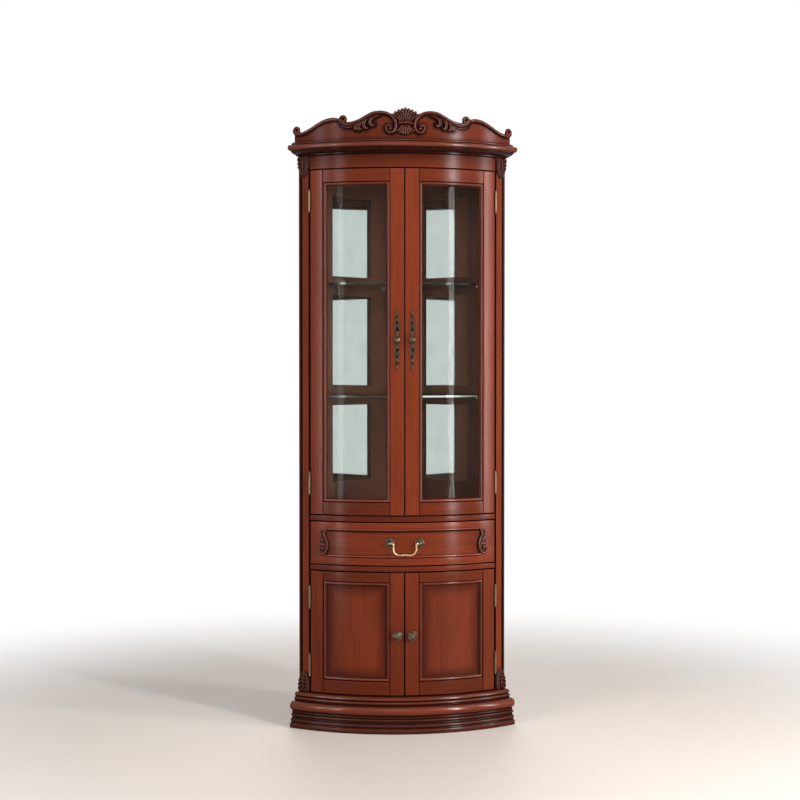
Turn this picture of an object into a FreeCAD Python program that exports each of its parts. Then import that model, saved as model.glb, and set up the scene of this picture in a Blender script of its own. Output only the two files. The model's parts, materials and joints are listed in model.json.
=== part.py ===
import FreeCAD
import Part
import Sketcher
import math
import operator
import os

# Bow-fronted corner cabinet for wine and glasses, in millimetres and degrees.
# The front of every piece is an arc about one vertical line, the bow axis, which lies behind the cabinet.
# The two back walls stand at 45 degrees to the middle plane and cut the arcs off at both ends.
# +Z is up, the front faces -Y, and the floor under the middle of the cabinet is the origin.

doc = FreeCAD.newDocument("corner_wine_cabinet")
sheet = doc.addObject("Spreadsheet::Sheet", "dims")

# Driving dimensions
DIMENSIONS = [
    ("bow_radius", 560, "face of doors, drawer and posts, from the bow axis"),
    ("corner_offset", 107, "corner where the wall faces would meet, from the bow axis"),
    ("corner_flat", 30, "flat that takes off the corner at the back"),
    ("opening_half_angle", 32.8, "middle plane to the inner face of a front post"),
    ("hinge_gap", 3, "post to door or drawer front"),
    ("seam_gap", 2.5, "between the two doors of a pair"),
    ("door_gap", 2, "above and below doors and drawer"),
    ("seat_gap", 0.2, "room at a curved seat"),
    ("lower_door_height", 397, "cupboard door"),
    ("divider_thickness", 18, "dust board under the drawer"),
    ("drawer_front_height", 138, "drawer front"),
    ("waist_thickness", 19, "board under the display"),
    ("upper_door_height", 1114, "glazed door"),
    ("frieze_height", 45, "rail over the glazed doors"),
    ("panel_thickness", 12, "back panel"),
    ("corner_leg", 40, "rear corner post along each wall"),
    ("post_depth", 45, "front post, front to back"),
    ("bottom_thickness", 18, "cupboard floor"),
    ("ceiling_thickness", 18, "display ceiling"),
    ("top_thickness", 14, "top board"),
    ("top_drop", 6, "top board below the top of the cornice"),
    ("bearer_thickness", 18, "plinth bearer"),
    ("frieze_thickness", 20, "frieze rail"),
    ("cornice_back", 22, "cornice behind the face"),
    ("door_thickness", 22, "doors and drawer front"),
    ("stile_width", 46, "door stile along the bow"),
    ("upper_rail_height", 42, "rail of a glazed door"),
    ("lower_top_rail", 33, "top rail of a cupboard door"),
    ("lower_bottom_rail", 45, "bottom rail of a cupboard door"),
    ("bead_width", 12, "bead around glass or panel"),
    ("bead_flat", 3, "flat on the bead beside the frame"),
    ("bead_drop", 1.5, "bead below the face"),
    ("bead_lip", 2, "edge of the bead on the glass"),
    ("glass_setback", 12, "front of the door glass behind the face"),
    ("glass_thickness", 4, "door glass"),
    ("panel_setback", 10, "front of the door panel behind the face"),
    ("door_panel_thickness", 7, "door panel"),
    ("pane_clearance", 0.5, "glass, panel or mirror to its frame"),
    ("rear_bead_width", 9, "bead behind the door glass"),
    ("barrel_radius", 3.2, "hinge knuckle"),
    ("barrel_length", 64, "all knuckles of a hinge"),
    ("barrel_stand_off", 0.4, "knuckle in front of the face"),
    ("knuckle_gap", 0.3, "between knuckles"),
    ("leaf_thickness", 1.2, "hinge leaf"),
    ("leaf_depth", 18, "hinge leaf behind the face"),
    ("pin_radius", 1.5, "hinge pin"),
    ("pin_clearance", 0.05, "hinge pin in its knuckles"),
    ("pin_tip_height", 6, "finial on the end of a hinge pin"),
    ("pin_tip_radius", 2.8, "finial"),
    ("upper_hinge_inset", 100, "end of a glazed door to the middle of its hinge"),
    ("lower_hinge_inset", 88, "end of a cupboard door to the middle of its hinge"),
    ("handle_rise", 564, "foot of a glazed door to the middle of its handle"),
    ("handle_plate_length", 195, "handle plate"),
    ("handle_plate_width", 19, "handle plate at its lobes"),
    ("handle_plate_neck", 11, "handle plate between its lobes"),
    ("handle_plate_thickness", 2, "handle plate"),
    ("handle_lobe_rise", 52, "middle of the plate to its outer lobe"),
    ("handle_neck_rise", 26, "middle of the plate to its neck"),
    ("handle_knob_radius", 9.5, "knob on the handle plate"),
    ("handle_knob_reach", 21, "knob in front of the plate"),
    ("knob_stem_radius", 4, "neck of a knob"),
    ("knob_stem_length", 8, "neck of a knob"),
    ("lower_knob_radius", 15, "cupboard knob"),
    ("lower_knob_reach", 24, "cupboard knob in front of the door"),
    ("lower_knob_rise", 196, "foot of a cupboard door to its knob"),
    ("field_half_angle", 26, "middle plane to the end of the sunk field"),
    ("field_top_margin", 28, "top of the drawer front to its field"),
    ("field_bottom_margin", 35, "foot of the drawer front to its field"),
    ("field_depth", 3, "sunk field of the drawer front"),
    ("drawer_half_width", 165, "drawer box"),
    ("drawer_side_thickness", 10, "drawer side"),
    ("drawer_back_thickness", 10, "drawer back"),
    ("drawer_bottom_thickness", 6, "drawer bottom"),
    ("drawer_box_rise", 9, "foot of the drawer front to the box"),
    ("drawer_box_height", 116, "drawer side"),
    ("drawer_bottom_rise", 8, "foot of the box to its bottom board"),
    ("drawer_back_clearance", 14, "rear corner of the box to the back panel"),
    ("runner_width", 16, "runner under a drawer side"),
    ("runner_lip", 6, "guide beside a drawer side"),
    ("runner_lip_height", 14, "guide above the runner"),
    ("runner_front_gap", 10, "runner to the drawer front"),
    ("slide_gap", 0.3, "drawer to its runners"),
    ("bail_half_span", 48, "middle of the drawer to a handle stud"),
    ("rosette_radius", 16, "rosette"),
    ("rosette_thickness", 4, "rosette"),
    ("stud_radius", 3.6, "stud"),
    ("stud_ball_radius", 6, "ball on the stud"),
    ("bail_stand_off", 12, "bail pivot in front of the face"),
    ("bail_rod_radius", 2.2, "bail rod"),
    ("bail_clearance", 0.06, "bail rod in its stud"),
    ("bail_half_width", 33, "middle to a leg of the bail"),
    ("bail_drop", 38, "pivot to the foot of the bail"),
    ("bail_shoulder", 5, "bend at the top of a leg"),
    ("bail_corner", 13, "bend at the foot of a leg"),
    ("mirror_frame_thickness", 8, "frame around the mirrors"),
    ("mirror_thickness", 4, "mirror"),
    ("mirror_start", 150, "corner to a mirror, along the wall"),
    ("mirror_width", 188, "mirror window, along the wall"),
    ("mirror_base", 98, "waist board to the lowest mirror"),
    ("mirror_head", 72, "top mirror to the ceiling"),
    ("mirror_rail", 62, "rail between mirrors"),
    ("lower_mirror_share", 0.3095, "lowest mirror, of the height of all three"),
    ("middle_mirror_share", 0.3689, "middle mirror, of the height of all three"),
    ("shelf_thickness", 6, "glass shelf"),
    ("shelf_front_gap", 14, "glass shelf to the back of the doors"),
    ("shelf_wall_gap", 1, "glass shelf to the mirror frames"),
    ("shelf_pin_radius", 3, "shelf pin"),
    ("shelf_pin_length", 14, "shelf pin out of the frame"),
    ("shelf_pin_start", 96, "corner to the inner pin, along the wall"),
    ("shelf_pin_margin", 42, "outer pin to the end of the panel, along the wall"),
    ("catch_width", 44, "door catch"),
    ("catch_depth", 14, "door catch"),
    ("catch_height", 10, "door catch"),
    ("catch_gap", 0.4, "door catch to the doors"),
    ("carving_height", 70, "carved bracket on a front post"),
    ("carving_reach", 15, "carved bracket in front of the post"),
    ("carving_foot", 5, "thin end of the carved bracket"),
    ("carving_lip", 14, "thick end of the carved bracket"),
    ("carving_margin", 4, "carved bracket to the edge of the post"),
    ("crest_forward", 25, "face of the crest in front of the doors"),
    ("crest_thickness", 22, "crest board"),
    ("crest_middle_rise", 78, "crest board behind the shell"),
    ("crest_scroll_share", 0.2243, "middle to the top of a scroll, of half the crest"),
    ("crest_scroll_rise", 84, "crest board behind a scroll"),
    ("crest_valley_share", 0.4822, "middle to the valley, of half the crest"),
    ("crest_valley_rise", 60, "crest board at the valley"),
    ("crest_shoulder_share", 0.6504, "middle to the shoulder, of half the crest"),
    ("crest_shoulder_rise", 74, "crest board at the shoulder"),
    ("crest_dip_share", 0.9252, "middle to the dip beside the end, of half the crest"),
    ("crest_dip_rise", 43, "crest board at the dip"),
    ("crest_end_rise", 52, "crest board at its end"),
    ("relief_depth", 13, "carving in front of the crest board"),
    ("shell_rise", 100, "top of the shell above the cornice"),
    ("shell_base_rise", 14, "foot of the shell above the cornice"),
    ("shell_waist_rise", 53, "waist of the shell above the cornice"),
    ("shell_half_width", 43, "shell at its widest"),
    ("shell_shoulder_rise", 80, "widest place of the shell above the cornice"),
    ("shell_waist_half", 20, "shell at its waist"),
    ("shell_foot_half", 32, "lower fan of the shell"),
    ("shell_foot_rise", 26, "widest place of the lower fan above the cornice"),
    ("volute_share", 0.1738, "middle to the eye of a volute, of half the crest"),
    ("volute_rise", 39, "eye of a volute above the cornice"),
    ("volute_radius", 17, "volute"),
    ("scroll_peak_rise", 92, "top of a scroll above the cornice"),
    ("scroll_width", 21, "scroll at its top"),
    ("scroll_tail_share", 0.5102, "middle to the tail of a scroll, of half the crest"),
    ("scroll_tail_rise", 63, "tail of a scroll above the cornice"),
    ("scroll_tail_width", 9, "tail of a scroll"),
    ("scroll_bend_share", 0.3588, "middle to the bend of a scroll, of half the crest"),
    ("scroll_bend_rise", 78, "bend of a scroll above the cornice"),
]
# Sections of the bowed mouldings: out from the face, above the foot, and the swell of the side that ends so
PLINTH_SECTION = [
    (42, 0, 0),
    (42, 12, 0),
    (38, 17, 1.2),
    (37, 19, 0),
    (36, 31, 2.2),
    (33, 41, -2),
    (35, 41, 0),
    (35, 47, 1.5),
    (30, 48, 0),
    (30, 56, 0),
    (22, 88, 15.5),
    (20, 89, 0),
    (20, 96, 2),
    (17, 96, 0),
    (17, 105, 0),
    (20, 105, 0),
    (7, 114, 2.4),
]
CORNICE_SECTION = [
    (12, 0, 0),
    (12, 3, 0),
    (38, 17, -4),
    (41, 17, 0),
    (41, 37, 8),
    (38, 37, 0),
    (38, 43, 0),
]
for name, section in (("plinth", PLINTH_SECTION), ("cornice", CORNICE_SECTION)):
    for rank, (out, level, swell) in enumerate(section):
        DIMENSIONS.append((f"{name}_out_{rank}", out, "out from the face"))
        DIMENSIONS.append((f"{name}_level_{rank}", level, "above the foot of the moulding"))
        DIMENSIONS.append((f"{name}_swell_{rank}", abs(swell), "swell of the side"))
for row, (alias, number, meaning) in enumerate(DIMENSIONS, start=1):
    sheet.set(f"A{row}", alias)
    sheet.set(f"B{row}", str(number))
    sheet.setAlias(f"B{row}", alias)
    sheet.set(f"C{row}", meaning)
doc.recompute()

SIGNS = {"+": operator.add, "-": operator.sub, "*": operator.mul, "/": operator.truediv}
Vector = FreeCAD.Vector


class Size:
    """A length or an angle, kept together with the sheet formula that gives it."""

    def __init__(self, value, text):
        self.value = value
        self.text = text

    def __add__(self, other):
        return combine(self, "+", other)

    def __radd__(self, other):
        return combine(other, "+", self)

    def __sub__(self, other):
        return combine(self, "-", other)

    def __rsub__(self, other):
        return combine(other, "-", self)

    def __mul__(self, other):
        return combine(self, "*", other)

    def __rmul__(self, other):
        return combine(other, "*", self)

    def __truediv__(self, other):
        return combine(self, "/", other)

    def __neg__(self):
        return combine(0, "-", self)


def as_size(number):
    """A plain number as a size."""
    return number if isinstance(number, Size) else Size(float(number), repr(float(number)))


def combine(first, sign, second):
    """Two sizes joined by an arithmetic sign."""
    first = as_size(first)
    second = as_size(second)
    return Size(SIGNS[sign](first.value, second.value), f"({first.text} {sign} {second.text})")


def size(alias):
    """A driving dimension from the sheet."""
    return Size(float(sheet.get(alias)), f"dims.{alias}")


def root(number):
    """The square root of a size."""
    return Size(math.sqrt(number.value), f"sqrt({number.text})")


def sine(angle):
    """The sine of an angle in degrees."""
    angle = as_size(angle)
    return Size(math.sin(math.radians(angle.value)), f"sin({angle.text})")


def cosine(angle):
    """The cosine of an angle in degrees."""
    angle = as_size(angle)
    return Size(math.cos(math.radians(angle.value)), f"cos({angle.text})")


# Plan: radii from the bow axis, angles from the middle plane, positive to the right
ROOT_TWO = math.sqrt(2)
WALL_TO_WALL = as_size(90)
INTO_RIGHT_WALL = as_size(135)
bow_radius = size("bow_radius")
corner_offset = size("corner_offset")
corner_flat = size("corner_flat")
panel_thickness = size("panel_thickness")
door_thickness = size("door_thickness")
seat_gap = size("seat_gap")
post_depth = size("post_depth")
opening_angle = size("opening_half_angle")
front_reach = bow_radius + size("cornice_out_4") + size("cornice_swell_4")
back_reach = corner_offset + corner_flat / 2
bow_y = (front_reach + back_reach) / 2


def arc_angle(length):
    """The angle that an arc of this length takes on the face of the bow."""
    return length * 180 / (bow_radius * math.pi)


def polar(angle, radius):
    """A point on plan at an angle and a radius from the bow axis."""
    return (radius * sine(angle), -(radius * cosine(angle)))


def wall_point(radius, inset):
    """Where an arc meets the right wall, or a plane parallel to it further in."""
    apex = corner_offset + inset * ROOT_TWO
    across = (root(radius * radius * 2 - apex * apex) - apex) / 2
    return (across, -(apex + across))


def along_wall(distance, inset):
    """A point at a distance from the corner along the right wall, and in from it."""
    return ((distance - inset) / ROOT_TWO, -(corner_offset + (distance + inset) / ROOT_TWO))


def mirrored(points):
    """The same corners on the left side, in reverse order."""
    return [(-point[0], point[1]) for point in reversed(points)]


# Levels above the floor
door_gap = size("door_gap")
plinth_top = size(f"plinth_level_{len(PLINTH_SECTION) - 1}")
lower_door_z = plinth_top + door_gap
lower_door_top = lower_door_z + size("lower_door_height")
divider_z = lower_door_top + door_gap
divider_top = divider_z + size("divider_thickness")
drawer_z = divider_top + door_gap
drawer_top = drawer_z + size("drawer_front_height")
waist_z = drawer_top + door_gap
waist_top = waist_z + size("waist_thickness")
upper_door_z = waist_top + door_gap
upper_door_top = upper_door_z + size("upper_door_height")
frieze_z = upper_door_top + door_gap
cornice_z = frieze_z + size("frieze_height")
cornice_top = cornice_z + size(f"cornice_level_{len(CORNICE_SECTION) - 1}")
top_board_z = cornice_top - size("top_drop") - size("top_thickness")

nodes = []


def keep(piece):
    """Marks a piece as a finished sub-part."""
    nodes.append(piece)
    return piece


def place(piece, east, north, up, turn):
    """Puts a piece at a point and turns it about the vertical, all tied to the sheet."""
    spots = [as_size(spot) for spot in (east, north, up)]
    turn = as_size(turn)
    rotation = FreeCAD.Rotation(Vector(0, 0, 1), turn.value)
    piece.Placement = FreeCAD.Placement(Vector(*[spot.value for spot in spots]), rotation)
    for axis, spot in zip("xyz", spots):
        piece.setExpression(f"Placement.Base.{axis}", spot.text)
    piece.setExpression("Placement.Rotation.Angle", turn.text)


def new_body(label, east=0, north=bow_y, up=0, turn=0):
    """An empty body, by default with its origin on the bow axis at floor level."""
    body = doc.addObject("PartDesign::Body", label)
    body.Label = label
    place(body, east, north, up, turn)
    return body


def tie_point(sketch, edge, end, point):
    """Holds one end of an edge at a point that the sheet gives."""
    for kind, axis, number in (("DistanceX", -2, point[0]), ("DistanceY", -1, point[1])):
        number = as_size(number)
        if number.text == "0.0":
            sketch.addConstraint(Sketcher.Constraint("PointOnObject", edge, end, axis))
        else:
            index = sketch.addConstraint(Sketcher.Constraint(kind, -1, 1, edge, end, number.value))
            sketch.setExpression(f"Constraints[{index}]", number.text)


def tie_radius(sketch, edge, radius):
    """Gives an arc or a circle the radius that the sheet gives."""
    index = sketch.addConstraint(Sketcher.Constraint("Radius", edge, radius.value))
    sketch.setExpression(f"Constraints[{index}]", radius.text)


def draw_side(sketch, start, stop):
    """One side of an outline. Returns the edge and which of its ends come first and last."""
    first, last = [Vector(as_size(point[0]).value, as_size(point[1]).value, 0) for point in (start, stop)]
    if len(stop) == 2:
        return sketch.addGeometry(Part.LineSegment(first, last)), 1, 2
    radius, turn = stop[2].value, stop[3]
    chord = last - first
    rise = math.sqrt(max(radius * radius - chord.Length * chord.Length / 4, 0))
    across = Vector(-chord.y, chord.x, 0).normalize()
    middle = (first + last) / 2 + across * (rise if turn == "left" else -rise)
    begin, finish = (first, last) if turn == "left" else (last, first)
    angles = [math.atan2(end.y - middle.y, end.x - middle.x) for end in (begin, finish)]
    circle = Part.Circle(middle, Vector(0, 0, 1), radius)
    edge = sketch.addGeometry(Part.ArcOfCircle(circle, *angles))
    tie_radius(sketch, edge, stop[2])
    return (edge, 1, 2) if turn == "left" else (edge, 2, 1)


def draw(body, plane, corners, lift=0):
    """A closed sketch on an origin plane. A corner (x, y, radius, turn) ends a side that is an arc."""
    sketch = body.newObject("Sketcher::SketchObject", f"{body.Label}_outline")
    planes = {feature.Role: feature for feature in body.Origin.OriginFeatures}
    sketch.AttachmentSupport = (planes[plane], [""])
    sketch.MapMode = "FlatFace"
    sketch.setExpression("AttachmentOffset.Base.z", as_size(lift).text)
    count = len(corners)
    sides = [draw_side(sketch, corners[index], corners[(index + 1) % count]) for index in range(count)]
    for index, (edge, first, last) in enumerate(sides):
        following = sides[(index + 1) % count]
        sketch.addConstraint(Sketcher.Constraint("Coincident", edge, last, following[0], following[1]))
        tie_point(sketch, edge, first, corners[index])
    return sketch


def draw_circle(body, plane, centre, radius, lift=0):
    """A round sketch on an origin plane."""
    sketch = body.newObject("Sketcher::SketchObject", f"{body.Label}_round")
    planes = {feature.Role: feature for feature in body.Origin.OriginFeatures}
    sketch.AttachmentSupport = (planes[plane], [""])
    sketch.MapMode = "FlatFace"
    sketch.setExpression("AttachmentOffset.Base.z", as_size(lift).text)
    spot = Vector(as_size(centre[0]).value, as_size(centre[1]).value, 0)
    edge = sketch.addGeometry(Part.Circle(spot, Vector(0, 0, 1), radius.value))
    tie_point(sketch, edge, 3, centre)
    tie_radius(sketch, edge, radius)
    return sketch


def add_pad(body, sketch, length):
    """Raises a sketch along its normal."""
    pad = body.newObject("PartDesign::Pad", f"{body.Label}_pad")
    pad.Profile = sketch
    pad.setExpression("Length", length.text)
    return pad


def add_cut_through(body, sketch):
    """Cuts a sketch out of a body to both sides."""
    pocket = body.newObject("PartDesign::Pocket", f"{body.Label}_cut")
    pocket.Profile = sketch
    pocket.SideType = "Symmetric"
    pocket.Type = "ThroughAll"
    return pocket


def board(label, corners, bottom, thickness):
    """A level board cut to an outline on plan."""
    body = new_body(label, up=bottom)
    add_pad(body, draw(body, "XY_Plane", corners), thickness)
    return body


FLIPPED = {"left": "right", "right": "left"}


def bow_profile(profile):
    """Corners (radius, height) as they stand in the middle plane, in front of the bow axis."""
    corners = []
    for corner in profile:
        ending = () if len(corner) == 2 else (corner[2], FLIPPED[corner[3]])
        corners.append((-as_size(corner[0]), corner[1]) + ending)
    return corners


def bowed(label, profile, middle, sweep):
    """A piece whose section, given as (radius, height), follows the bow."""
    body = new_body(label, turn=middle)
    turning = body.newObject("PartDesign::Revolution", f"{label}_bow")
    turning.Profile = draw(body, "YZ_Plane", bow_profile(profile))
    turning.ReferenceAxis = (turning.Profile[0], ["V_Axis"])
    turning.Midplane = True
    turning.setExpression("Angle", sweep.text)
    return body


def slab(inner, outer, bottom, top):
    """A rectangular section between two radii and two levels."""
    return [(inner, bottom), (outer, bottom), (outer, top), (inner, top)]


def bowed_between(label, profile, first, last):
    """A bowed piece that runs from one angle to another."""
    return bowed(label, profile, (first + last) / 2, last - first)


def trim_to_walls(body):
    """Cuts a bowed piece off along both wall faces."""
    reach = bow_radius * 2
    corners = [
        (0, -corner_offset),
        (reach, -(corner_offset + reach)),
        (reach, reach),
        (-reach, reach),
        (-reach, -(corner_offset + reach)),
    ]
    add_cut_through(body, draw(body, "XY_Plane", corners))
    return body


def mirror_of(label, source):
    """The left-hand twin of a right-hand piece."""
    twin = doc.addObject("Part::Mirroring", label)
    twin.Label = label
    twin.Source = source
    twin.Normal = Vector(1, 0, 0)
    return twin


def joined(label, pieces):
    """Pieces that are worked into one solid."""
    whole = doc.addObject("Part::MultiFuse", label)
    whole.Label = label
    whole.Shapes = pieces
    return whole


def group(label, pieces):
    """Separate solids that share one name."""
    together = doc.addObject("Part::Compound", label)
    together.Label = label
    together.Links = pieces
    return together


def both_sides(name, right):
    """Keeps a right-hand piece and its left-hand twin under names with the side in them."""
    right.Label = name.format("right")
    keep(right)
    keep(mirror_of(name.format("left"), right))


def cap(half, rise):
    """The radius of an arc that rises this far over half of its chord."""
    return (half * half + rise * rise) / (rise * 2)


def moulding(label, section, inner, foot):
    """A moulding along the whole bow, with its section from the sheet and a flat back at a radius."""
    name = label.split("_")[0]
    corners = []
    for rank, (out, level, swell) in enumerate(section):
        corner = (bow_radius + size(f"{name}_out_{rank}"), foot + size(f"{name}_level_{rank}"))
        ending = ()
        if swell:
            width = corner[0] - corners[-1][0]
            height = corner[1] - corners[-1][1]
            half = root(width * width + height * height) / 2
            ending = (cap(half, size(f"{name}_swell_{rank}")), "left" if swell > 0 else "right")
        corners.append(corner + ending)
    back = [(inner, corners[-1][1]), (inner, foot)]
    keep(trim_to_walls(bowed(label, corners + back, 0, WALL_TO_WALL)))


# Plinth
def make_plinth():
    """The bowed moulding at the foot, and the bearers behind it along both walls."""
    inner = bow_radius - post_depth
    moulding("plinth_moulding", PLINTH_SECTION, inner, as_size(0))
    bearer_end = wall_point(inner - seat_gap, panel_thickness + size("bearer_thickness"))
    bearer_run = (bearer_end[0] * ROOT_TWO) + panel_thickness + size("bearer_thickness")
    bearer = board(
        "right_bearer",
        [
            along_wall(size("corner_leg"), panel_thickness),
            along_wall(bearer_run, panel_thickness),
            along_wall(bearer_run, panel_thickness + size("bearer_thickness")),
            along_wall(size("corner_leg"), panel_thickness + size("bearer_thickness")),
        ],
        as_size(0),
        plinth_top - size("bottom_thickness"),
    )
    keep(group("plinth_bearers", [bearer, mirror_of("left_bearer", bearer)]))


# Rear corner, back panels and front posts
corner_leg = size("corner_leg")
flat_run = corner_flat / ROOT_TWO
post_rear = polar(opening_angle, bow_radius - post_depth)
panel_run = (post_rear[0] - post_rear[1] - corner_offset) / ROOT_TWO


def make_walls():
    """The post in the corner, the panels against both walls and the posts that carry the hinges."""
    right_half = [along_wall(flat_run, 0), along_wall(corner_leg, 0), along_wall(corner_leg, panel_thickness)]
    keep(board("rear_corner_post", right_half + mirrored(right_half), as_size(0), top_board_z))
    panel = board(
        "right_back_panel",
        [
            along_wall(corner_leg, 0),
            along_wall(panel_run, 0),
            along_wall(panel_run, panel_thickness),
            along_wall(corner_leg, panel_thickness),
        ],
        as_size(0),
        top_board_z,
    )
    both_sides("{}_back_panel", panel)
    post = board(
        "right_front_post",
        [
            post_rear,
            polar(opening_angle, bow_radius),
            wall_point(bow_radius, as_size(0)) + (bow_radius, "left"),
            along_wall(panel_run, 0),
        ],
        plinth_top,
        cornice_z - plinth_top,
    )
    both_sides("{}_front_post", post)


# Level boards
def inner_corner(inset):
    """Where a board meets the rear corner post."""
    return along_wall(corner_leg, inset)


def board_between_posts(label, front_radius, bottom, thickness):
    """A board that fills the plan between the panels and reaches forward between the posts."""
    right_half = [
        inner_corner(panel_thickness),
        along_wall(panel_run, panel_thickness),
        post_rear,
        polar(opening_angle, front_radius),
    ]
    left_half = mirrored(right_half)
    front_arc = [left_half[0] + (front_radius, "right")]
    return keep(board(label, right_half + front_arc + left_half[1:], bottom, thickness))


def make_boards():
    """Cupboard floor, dust board, waist board, display ceiling and top board."""
    floor_radius = bow_radius - post_depth - seat_gap
    floor_end = wall_point(floor_radius, panel_thickness)
    floor_half = [inner_corner(panel_thickness), floor_end]
    floor_left = mirrored(floor_half)
    outline = floor_half + [floor_left[0] + (floor_radius, "right"), floor_left[1]]
    keep(board("bottom_board", outline, plinth_top - size("bottom_thickness"), size("bottom_thickness")))
    board_between_posts("dust_board", bow_radius, divider_z, size("divider_thickness"))
    board_between_posts("waist_board", bow_radius, waist_z, size("waist_thickness"))
    ceiling_radius = bow_radius - size("frieze_thickness") - seat_gap
    board_between_posts("ceiling_board", ceiling_radius, frieze_z, size("ceiling_thickness"))
    top_radius = bow_radius - size("cornice_back") - seat_gap
    top_half = [along_wall(flat_run, 0), wall_point(top_radius, as_size(0))]
    top_left = mirrored(top_half)
    outline = top_half + [top_left[0] + (top_radius, "right"), top_left[1]]
    keep(board("top_board", outline, top_board_z, size("top_thickness")))


# Frieze and cornice
def make_head():
    """The rail over the glazed doors and the moulding above it."""
    rail = slab(bow_radius - size("frieze_thickness"), bow_radius, frieze_z, cornice_z)
    keep(bowed_between("frieze_rail", rail, -opening_angle, opening_angle))
    moulding("cornice_moulding", CORNICE_SECTION, bow_radius - size("cornice_back"), cornice_z)


# Doors, built on the right and mirrored to the left
door_edge = opening_angle - arc_angle(size("hinge_gap"))
seam_edge = arc_angle(size("seam_gap") / 2)
stile_angle = arc_angle(size("stile_width"))
frame_first = seam_edge + stile_angle
frame_last = door_edge - stile_angle
rear_face = bow_radius - door_thickness


def make_frame(name, bottom, top, rail_bottom, rail_top):
    """Two stiles that run the full height and two rails between them."""
    upright = slab(rear_face, bow_radius, bottom, top)
    seam_stile = bowed_between(f"{name}_seam_stile", upright, seam_edge, frame_first)
    hinge_stile = bowed_between(f"{name}_hinge_stile", upright, frame_last, door_edge)
    both_sides(name + "_stiles", group(f"{name}_both_stiles", [seam_stile, hinge_stile]))
    low = slab(rear_face, bow_radius, bottom, bottom + rail_bottom)
    high = slab(rear_face, bow_radius, top - rail_top, top)
    low_rail = bowed_between(f"{name}_low_rail", low, frame_first, frame_last)
    high_rail = bowed_between(f"{name}_high_rail", high, frame_first, frame_last)
    both_sides(name + "_rails", group(f"{name}_both_rails", [low_rail, high_rail]))


def bead_frame(label, profile, bottom, top):
    """A mitred bead around the inside of a door frame. A corner is (radius, distance from the frame)."""
    low = [(radius, bottom + inset) for radius, inset in profile]
    high = [(radius, top - inset) for radius, inset in profile]
    seam = [polar(frame_first + arc_angle(inset), radius) for radius, inset in profile]
    hinge = [polar(frame_last - arc_angle(inset), radius) for radius, inset in profile]
    strips = [
        bowed_between(f"{label}_low", low, frame_first, frame_last),
        bowed_between(f"{label}_high", high, frame_first, frame_last),
        board(f"{label}_seam", seam, bottom, top - bottom),
        board(f"{label}_hinge", hinge, bottom, top - bottom),
    ]
    return joined(label, strips)


def front_bead_profile(seat):
    """The section of a front bead that falls from the frame to the glass or panel behind it."""
    crown = bow_radius - size("bead_drop")
    return [
        (seat, as_size(0)),
        (crown, as_size(0)),
        (crown, size("bead_flat")),
        (seat + size("bead_lip"), size("bead_width")),
        (seat, size("bead_width")),
    ]


def pane(label, outer, thickness, bottom, top):
    """A bowed sheet that fills a door frame with a little room around it."""
    room = size("pane_clearance")
    section = slab(outer - thickness, outer, bottom + room, top - room)
    return bowed_between(label, section, frame_first + arc_angle(room), frame_last - arc_angle(room))


def make_upper_doors():
    """Frame, bowed glass and the beads that hold it."""
    rail = size("upper_rail_height")
    name = "upper_{}_door"
    make_frame(name, upper_door_z, upper_door_top, rail, rail)
    bottom = upper_door_z + rail
    top = upper_door_top - rail
    glass_front = bow_radius - size("glass_setback")
    glass_back = glass_front - size("glass_thickness")
    rear_seat = glass_back - seat_gap
    rear_width = size("rear_bead_width")
    rear_profile = [
        (rear_face, as_size(0)),
        (rear_seat, as_size(0)),
        (rear_seat, rear_width),
        (rear_face, rear_width),
    ]
    front = bead_frame("upper_front_bead", front_bead_profile(glass_front + seat_gap), bottom, top)
    rear = bead_frame("upper_rear_bead", rear_profile, bottom, top)
    both_sides(name + "_glazing_bead", group("upper_beads", [front, rear]))
    both_sides(name + "_glass", pane("upper_glass", glass_front, size("glass_thickness"), bottom, top))


def make_lower_doors():
    """Frame, bowed panel and its bead."""
    name = "lower_{}_door"
    make_frame(name, lower_door_z, lower_door_top, size("lower_bottom_rail"), size("lower_top_rail"))
    bottom = lower_door_z + size("lower_bottom_rail")
    top = lower_door_top - size("lower_top_rail")
    panel_front = bow_radius - size("panel_setback")
    front = bead_frame("lower_front_bead", front_bead_profile(panel_front + seat_gap), bottom, top)
    panel = pane("lower_panel", panel_front, size("door_panel_thickness"), bottom, top)
    both_sides(name + "_panel", group("lower_panel_and_bead", [panel, front]))


# Butt hinges, drawn about the pin with the post to the right and the front towards -Y
hinge_angle = opening_angle - arc_angle(size("hinge_gap") / 2)
hinge_radius = bow_radius + size("barrel_stand_off") + size("barrel_radius")
face_depth = size("barrel_stand_off") + size("barrel_radius")
leaf_seat = size("hinge_gap") / 2 * (bow_radius - size("leaf_depth")) / bow_radius


def hinge_body(label, foot):
    """A body with its origin on the pin at the foot of the barrel."""
    spot = polar(hinge_angle, hinge_radius)
    return new_body(label, spot[0], bow_y + spot[1], foot, hinge_angle)


def add_plate(body, near, far, front, bottom, height):
    """A flat part of a leaf, from the front edge to the full depth of the leaf."""
    back = face_depth + size("leaf_depth")
    corners = [(near, front), (far, front), (far, back), (near, back)]
    add_pad(body, draw(body, "XY_Plane", corners, bottom), height)


def add_knuckle(body, near, far, bottom, height):
    """One knuckle with the strip that joins it to its leaf."""
    add_pad(body, draw_circle(body, "XY_Plane", (0, 0), size("barrel_radius"), bottom), height)
    add_plate(body, near, far, size("pin_radius") + size("pin_clearance"), bottom, height)


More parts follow.
